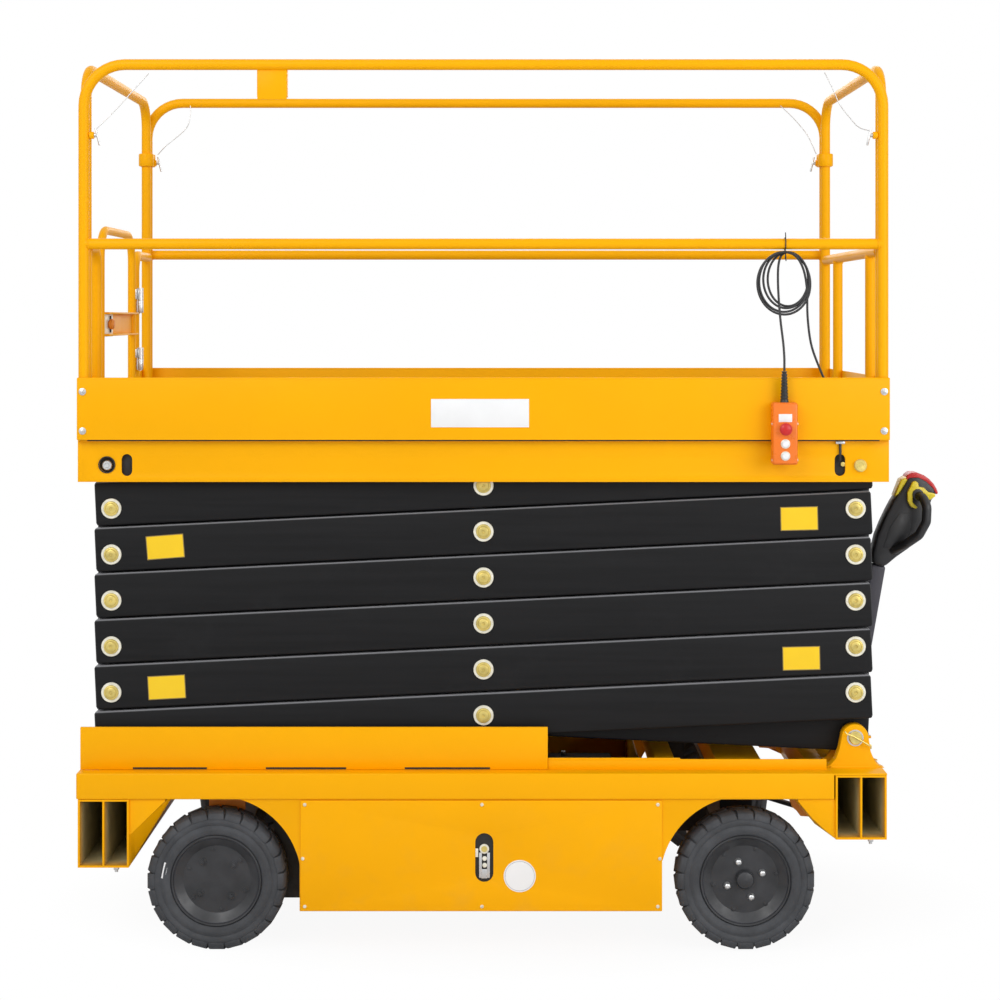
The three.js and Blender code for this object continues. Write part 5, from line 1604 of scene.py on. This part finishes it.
class LIFT_OT_rails(bpy.types.Operator):
    """Bent guard rails with their folding sleeves and locking pins"""

    bl_idname = "lift.rails"
    bl_label = "Guard rails"

    def execute(self, context):
        foot = DECK_TOP + 0.3
        for side, s in SIDES:
            piece = Piece()
            y = s * SIDE_RAIL_Y
            radius = sizes().rail_radius * 1000
            loop = [(-RAIL_X, y, foot), (-RAIL_X, y, TOP_RAIL_Z), (RAIL_X, y, TOP_RAIL_Z), (RAIL_X, y, foot)]
            tubes(piece, [loop], radius, 124.0)
            tubes(piece, [[(-RAIL_X, y, MID_RAIL_Z), (RAIL_X, y, MID_RAIL_Z)]], radius)
            for end in (-1, 1):
                x = end * RAIL_X
                piece.weld((x - end * (radius - 1.5), y, MID_RAIL_Z), radius, axis="X", bead=2.6)
                piece.weld((x, y, foot + 3), radius, bead=3.0)
                self.sleeve(piece, x, y, -end, s)
            if s < 0:
                top = TOP_RAIL_Z - radius
                piece.box((-681, -592), about(y, 5), (top - 88.5, top + 3), bevel=1.5)
                for x in (-680, -593):
                    piece.box(about(x, 4), (y, y + 26), (top - 80, top + 2), bevel=1.0)
            piece.done(f"rail_{side}", "platform", "yellow", f"guard_rail_{side}", angle=42.0)
        self.front_end(foot)
        self.gate_end(foot)
        return {"FINISHED"}

    @staticmethod
    def sleeve(piece, x, y, inward, s):
        """A collar over the folding joint, a boss on its inner face and a sprung pin."""
        radius = sizes().rail_radius * 1000
        if s > 0:
            for at in (y, END_RAIL_Y):
                piece.turned([(radius - 0.5, -22), (radius + 8, -22), (radius + 10, -19), (radius + 10, 19),
                              (radius + 8, 22), (radius - 0.5, 22)], (x, at, SLEEVE_Z + 2), "paint", 32, "Z")
        reach = x + inward * (radius + 14)
        piece.bar((x + inward * radius, y, SLEEVE_Z - 6), (reach, y, SLEEVE_Z - 6), 11.0, "paint", sides=24,
                  bevel=1.5)
        piece.bar((reach - inward * 2, y, SLEEVE_Z - 6), (reach + inward * 9, y, SLEEVE_Z - 6), 6.0, "steel",
                  sides=16,
                  bevel=1.0)
        tip = reach + inward * 8
        piece.bar((tip - inward * 3, y, SLEEVE_Z + 16), (tip + inward * 9, y, SLEEVE_Z - 36), 3.4, "steel",
                  sides=12,
                  bevel=1.0)

    @staticmethod
    def end_loop(x, foot):
        y = END_RAIL_Y
        return [(x, -y, foot), (x, -y, END_RAIL_Z), (x, y, END_RAIL_Z), (x, y, foot)]

    def front_end(self, foot):
        piece = Piece()
        radius = sizes().rail_radius * 1000
        x, z = RAIL_X, MID_RAIL_Z - 20
        tubes(piece, [self.end_loop(x, foot)], radius, 90.0)
        legs = (-352.0, 262.0)
        tubes(piece, [[(x, -END_RAIL_Y, z), (x, END_RAIL_Y, z)], *[[(x, y, foot), (x, y, z)] for y in legs]],
              radius)
        for y in legs:
            piece.weld((x, y, z - radius + 1), radius, bead=2.6)
            piece.weld((x, y, foot + 3), radius, bead=3.0)
        for _, s in SIDES:
            piece.weld((x, s * (END_RAIL_Y - radius + 1), z), radius, axis="Y", bead=2.6)
        piece.done("rail_front_end", "platform", "yellow", "guard_rail_front_end", angle=42.0)

    def gate_end(self, foot):
        piece = Piece()
        radius = sizes().rail_radius * 1000
        x, z = GATE_X, MID_RAIL_Z - 10
        tubes(piece, [self.end_loop(-RAIL_X, foot)], radius, 90.0)
        for y, corner in zip(GATE_POST_Y, (-END_RAIL_Y, END_RAIL_Y)):
            tubes(piece, [[(x, y, foot), (x, y, z), (x, corner, z)]], radius, 58.0)
            piece.weld((x, y, foot + 3), radius, bead=3.0)
        for z0, z1 in HINGE_Z:
            middle = (z0 + z1) / 2
            piece.post(HINGE_X, GATE_HINGE_Y, (z0, middle - 0.5), 11.0, "steel", sides=28,
                      bevel=1.2)
            piece.post(HINGE_X, GATE_HINGE_Y, (z0 - 3, z1 - 4), 5.0, "steel", sides=20)
            piece.box((HINGE_X - 13, HINGE_X - 7), (GATE_HINGE_Y, GATE_POST_Y[1] - 2), (z0 + 4, middle - 4),
                      "steel",
                      bevel=1.0)
        piece.done("rail_gate_end", "platform", "yellow", "guard_rail_gate_end", angle=42.0)


class LIFT_OT_gate(bpy.types.Operator):
    """Entry gate with its hinge knuckles, latch plate and knob"""

    bl_idname = "lift.gate"
    bl_label = "Entry gate"

    def execute(self, context):
        piece = Piece()
        y0, y1 = GATE_Y
        x = GATE_X
        sill = DECK_TOP + 60.3
        loop = [(x, y0, sill), (x, y0, GATE_TOP), (x, y1, GATE_TOP), (x, y1, sill)]
        tubes(piece, [loop], 13.0, 90.0)
        tubes(piece, [[(x, y0, sill + 12), (x, y1, sill + 12)]], 12.8)
        for y in (y0, y1):
            piece.weld((x, y + (11 if y < 0 else -11), sill + 12), 12.8, axis="Y", bead=2.4)
        piece.box(about(x, 5), (y0 + 5, y1 - 5), (1842, 1917), bevel=1.5)
        for z in (1842, 1911):
            piece.box((x, x + 26), (y0 + 12, y1 - 12), (z, z + 6), bevel=1.5)
        piece.box((x - 10, x - 5), (y0 - 8, y1 + 8), (DECK_TOP + 10, 1698), bevel=1.5)
        piece.box((x - 8, x), (y0 + 10, y1 - 10), (sill + 5, sill + 20), bevel=1.5)
        for z0, z1 in HINGE_Z:
            middle = (z0 + z1) / 2
            piece.turned([(5.5, middle), (11, middle), (11, z1 - 1), (10, z1), (5.5, z1)],
                         (HINGE_X, GATE_HINGE_Y, 0), "steel", 28, "Z")
            piece.box((HINGE_X - 13, HINGE_X - 7), (y1 - 2, GATE_HINGE_Y), (middle + 4, z1 - 4), "steel",
                      bevel=1.0)
        piece.done("gate_finished", "gate", "yellow", "entry_gate", angle=42.0)

        latch = Piece()
        latch.box((x - 7.8, x - 2.8), (y0 + 4, y0 + 165), (1840, 1918), "washer", bevel=1.2)
        latch.box((x + 2.8, x + 7.8), (y0 + 4, y0 + 165), (1840, 1918), "washer", bevel=1.2)
        knob = y0 + 90
        latch.bar((x - 36, knob, 1879), (x - 7, knob, 1879), 7.0, "steel", sides=20)
        latch.turned([(0.001, 0), (9, 0), (16, 6), (17, 14), (12, 20), (0.001, 21)], (x + 7, knob, 1879),
                     "bracket", 28,
                     "X")
        latch.box((x + 8, x + 12), about(knob + 24, 10), (1852, 1906), "black", bevel=1.5)
        latch.done("gate_latch_finished", "gate", "zinc", "gate_latch")
        return {"FINISHED"}


class LIFT_OT_hand_control(bpy.types.Operator):
    """Hung hand control with its boot, stop button and keys, and the deck gland"""

    bl_idname = "lift.hand_control"
    bl_label = "Hand control"

    def execute(self, context):
        piece = Piece()
        y0, y1 = HAND_Y
        x, (z0, z1) = HAND_X, HAND_Z
        piece.box((x - 38, x + 38), (y0 + 3, y1), (z0, z1), "control", bevel=7.0, steps=4)
        piece.box((x - 36.5, x + 36.5), (y0, y0 + 12), (z0 + 3, z1 - 3), "control", bevel=5.0, steps=4)
        for h in (z0 + 14, z0 + 122):
            for s in (-1, 1):
                piece.box((x + s * 30, x + s * 40.5), (y0 + 14, y0 + 26), (h - 8, h + 8), "control",
                          bevel=3.0)
                piece.across(x + s * 36, h, (y0 + 9, y0 + 15), 4.0, "steel", sides=16, bevel=0.8)
        piece.box((x - 20, x + 20), (y0 - 1.0, y0 + 1), (z0 + 128, z0 + 152), "white", bevel=0.8)
        stop = z0 + 107
        piece.knob(-1, [(0.001, 0), (15, 0), (15, 4), (0.001, 4)], (x, y0 + 1, stop), "sticker", 32)
        piece.across(x, stop, (y0 + 1, y0 - 10), 9.0, "red", sides=28)
        piece.knob(-1, [(0.001, 8), (17, 8), (18.5, 11), (18.5, 15), (15, 19), (8, 21.5), (0.001, 22)],
                   (x, y0, stop), "red", 36)
        for h in (z0 + 63, z0 + 27):
            piece.knob(-1, [(0.001, -1), (14, -1), (14, 2.5), (11.8, 3.5), (11.2, 1.5), (0.001, 1.5)],
                       (x, y0, h), "washer", 32)
            piece.knob(-1, [(0.001, 0), (10.6, 0), (10.6, 5), (9, 6.5), (0.001, 6.8)], (x, y0, h), "white",
                       32)
        hand_y = sum(HAND_Y) / 2
        boot = [(0.001, z1 - 2), (13, z1 - 2), (13, z1 + 2)]
        count = 9
        for i in range(count):
            h = z1 + 4 + i * 9.4
            r = 12.2 - i * 0.45
            boot += [(r, h), (r, h + 5.4), (r - 2.2, h + 6.4), (r - 2.2, h + 8.4)]
        boot += [(8.2, BOOT_TOP - 1), (7.4, BOOT_TOP), (0.001, BOOT_TOP)]
        piece.turned(boot, (x, hand_y, 0), "black", 28, "Z")
        piece.done("hand_control_finished", "platform", "orange", "hand_control")

        gland = Piece()
        base = DECK_TOP + 0.3
        gland.post(GLAND_X, GLAND_Y, (base, base + 7), 17.0, "black", sides=6, bevel=1.2)
        gland.post(GLAND_X, GLAND_Y, (base + 7, base + 22), 14.5, "black", sides=28, bevel=1.0)
        gland.post(GLAND_X, GLAND_Y, (base + 20, base + 30), 16.0, "black", sides=6, bevel=1.2)
        gland.post(GLAND_X, GLAND_Y, (base + 29, GLAND_TOP), 12.0, "black", sides=28, tip=6.5)
        gland.done("gland_finished", "platform", "black", "cable_gland")

        tie = Piece()
        # a wire tie that hangs the coil from the middle rail
        y = -SIDE_RAIL_Y
        r = 18.6
        loop = [(COIL_X - 2, y + r * math.cos(a), MID_RAIL_Z + r * math.sin(a))
                for a in (math.radians(-70 + 320 * i / 18) for i in range(19))]
        tubes(tie, [[(COIL_X - 2, y - 8, MID_RAIL_Z - 46), (COIL_X - 2, y - 12, MID_RAIL_Z - 30), *loop,
                     (COIL_X - 1, y - 10, MID_RAIL_Z - 34), (COIL_X, y - 10, MID_RAIL_Z - 52)]], 1.6, 3.0,
                     "cable", 8)
        tubes(tie, [[(COIL_X - 2, y - r, MID_RAIL_Z + 8), (COIL_X - 3, y - r - 1, MID_RAIL_Z + 34)]], 1.6,
              3.0,
              "cable", 8)
        tie.done("coil_tie", "platform", "cable")
        return {"FINISHED"}


class LIFT_OT_tiller(bpy.types.Operator):
    """Steering tiller: turret, column, moulded head with loop handles, throttles and safety button"""

    bl_idname = "lift.tiller"
    bl_label = "Tiller"

    def execute(self, context):
        turret = Piece()
        x, top = TILLER_X, BEAM_Z[1]
        turret.post(x, 0, (top + 3.3, top + 22), 40.0, "arm", sides=40, bevel=2.0)
        for _, s in SIDES:
            crown = [(x + 22 * math.cos(a), TILLER_PIVOT_Z + 22 * math.sin(a))
                     for a in (math.pi * i / 10 for i in range(11))]
            outline = [(x - 22, top + 18), (x + 22, top + 18), (x + 22, TILLER_PIVOT_Z), *crown,
                       (x - 22, TILLER_PIVOT_Z)]
            turret.plate(outline, span(s, 29, 39), "arm", bevel=1.2)
            turret.across(x, TILLER_PIVOT_Z, span(s, 38, 46), 15.0, "steel", sides=6, bevel=1.0)
        turret.across(x, TILLER_PIVOT_Z, (-40, 40), 10.0, "steel", sides=24)
        turret.done("turret_finished", "turret", "yellow", "tiller_turret")

        lean = Matrix.Translation((TILLER_X, 0, TILLER_PIVOT_Z)) @ Matrix.Rotation(TILLER_LEAN, 4, "Y")
        column = Piece(lean)
        column.box((-28, 21), (-28, 28), (0, TILLER_LONG), "column", bevel=9.0, steps=4)
        column.across(0, 0, (-28, 28), 27.0, "arm", sides=36, bevel=1.5)
        column.done("column_finished", "tiller", "charcoal", "tiller_column")

        top = lean @ Matrix.Translation((0, 0, TILLER_LONG + 0.3)) @ Matrix.Rotation(-TILLER_LEAN, 4, "Y")
        self.head(top)
        return {"FINISHED"}

    @staticmethod
    def head(place):
        head = Piece(place)
        housing = [(-24, 4), (14, -5), (52, 27), (92, 55), (124, 82), (148, 116), (160, 150), (160, 186),
                   (168, 214),
                   (184, 232), (176, 252), (152, 276), (126, 290), (92, 290), (78, 264), (62, 240), (42, 210),
                   (24, 176), (6, 138), (-10, 98), (-18, 66), (-25, 36)]
        head.plate(housing, (-42, 42), "black", bevel=12.0)
        inset = [(8, 60), (46, 52), (84, 84), (98, 128), (92, 170), (62, 172), (34, 132)]
        for _, s in SIDES:
            head.plate(inset, span(s, 41.6, 44.0), "black", bevel=1.0)
            # the hand loop sweeps out from the throttle's hub and back to the foot of the head
            route = [(116, s * 40, 232), (130, s * 84, 226), (138, s * 106, 198), (136, s * 106, 150),
                     (114, s * 98, 106), (80, s * 78, 78), (40, s * 34, 48)]
            tubes(head, [route], 15.0, 26.0, "black", 20)
            head.across(118, 234, span(s, 40, 62), 19.0, "black", sides=28, bevel=3.0)
        head.plate([(48, 224), (70, 280), (88, 290), (90, 276), (76, 258), (62, 236)], (-34, 34), "throttle",
                   bevel=3.0)
        head.done("head_finished", "tiller", "black", "tiller_head", angle=40.0)

        for side, s in SIDES:
            throttle = Piece(place)
            wing = [(84, 240), (95, 260), (101, 275), (112, 278), (120, 270), (121, 259), (138, 256),
                    (152, 242),
                    (174, 237), (176, 228), (158, 216), (138, 226), (124, 236), (110, 238), (101, 226),
                    (101, 208),
                    (118, 192), (112, 187), (95, 194), (85, 212)]
            throttle.plate(wing, span(s, 44.3, 60), "throttle", bevel=3.0)
            throttle.done(f"throttle_{side}_finished", "tiller", "throttle", f"tiller_throttle_{side}")

        cap = Piece(place)
        cap.plate([(81, 280), (90, 296), (102, 304), (120, 304), (143, 295), (160, 283), (175, 267),
                   (185, 250),
                   (190, 236), (184, 231), (168, 256), (150, 271), (133, 280), (110, 284)], (-36, 36), "red",
                  bevel=4.0)
        cap.done("button_finished", "tiller", "red", "tiller_button")


CLASSES = [
    LiftColours, LiftSizes, LIFT_OT_stage, LIFT_OT_hand_cable, LIFT_OT_lanyards, LIFT_OT_outer_arms,
    LIFT_OT_inner_arms, LIFT_OT_cylinders, LIFT_OT_base_frame, LIFT_OT_covers, LIFT_OT_pockets,
    LIFT_OT_chassis,
    LIFT_OT_running_gear, LIFT_OT_wheels, LIFT_OT_deck, LIFT_OT_rails, LIFT_OT_gate, LIFT_OT_hand_control,
    LIFT_OT_tiller,
]
STEPS = [
    "stage", "hand_cable", "lanyards", "outer_arms", "inner_arms", "cylinders", "base_frame", "covers",
    "pockets",
    "chassis", "running_gear", "wheels", "deck", "rails", "gate", "hand_control", "tiller",
]


class LIFT_PT_sidebar(bpy.types.Panel):
    """Lists the lift's pieces and settings"""

    bl_label = "Scissor Lift"
    bl_idname = "LIFT_PT_sidebar"
    bl_space_type = "VIEW_3D"
    bl_region_type = "UI"
    bl_category = "Scissor Lift"

    def draw(self, context):
        layout = self.layout
        for group in (context.scene.lift_colours, context.scene.lift_sizes):
            box = layout.box()
            for key in group.bl_rna.properties.keys():
                if key not in {"rna_type", "name"}:
                    box.prop(group, key)
        for step in STEPS:
            layout.operator("lift." + step)


def register():
    for cls in [*CLASSES, LIFT_PT_sidebar]:
        bpy.utils.register_class(cls)
    bpy.types.Scene.lift_colours = PointerProperty(type=LiftColours)
    bpy.types.Scene.lift_sizes = PointerProperty(type=LiftSizes)


def unregister():
    del bpy.types.Scene.lift_sizes
    del bpy.types.Scene.lift_colours
    for cls in reversed([*CLASSES, LIFT_PT_sidebar]):
        bpy.utils.unregister_class(cls)


def main():
    register()
    for step in STEPS:
        getattr(bpy.ops.lift, step)()


if __name__ == "__main__":
    main()
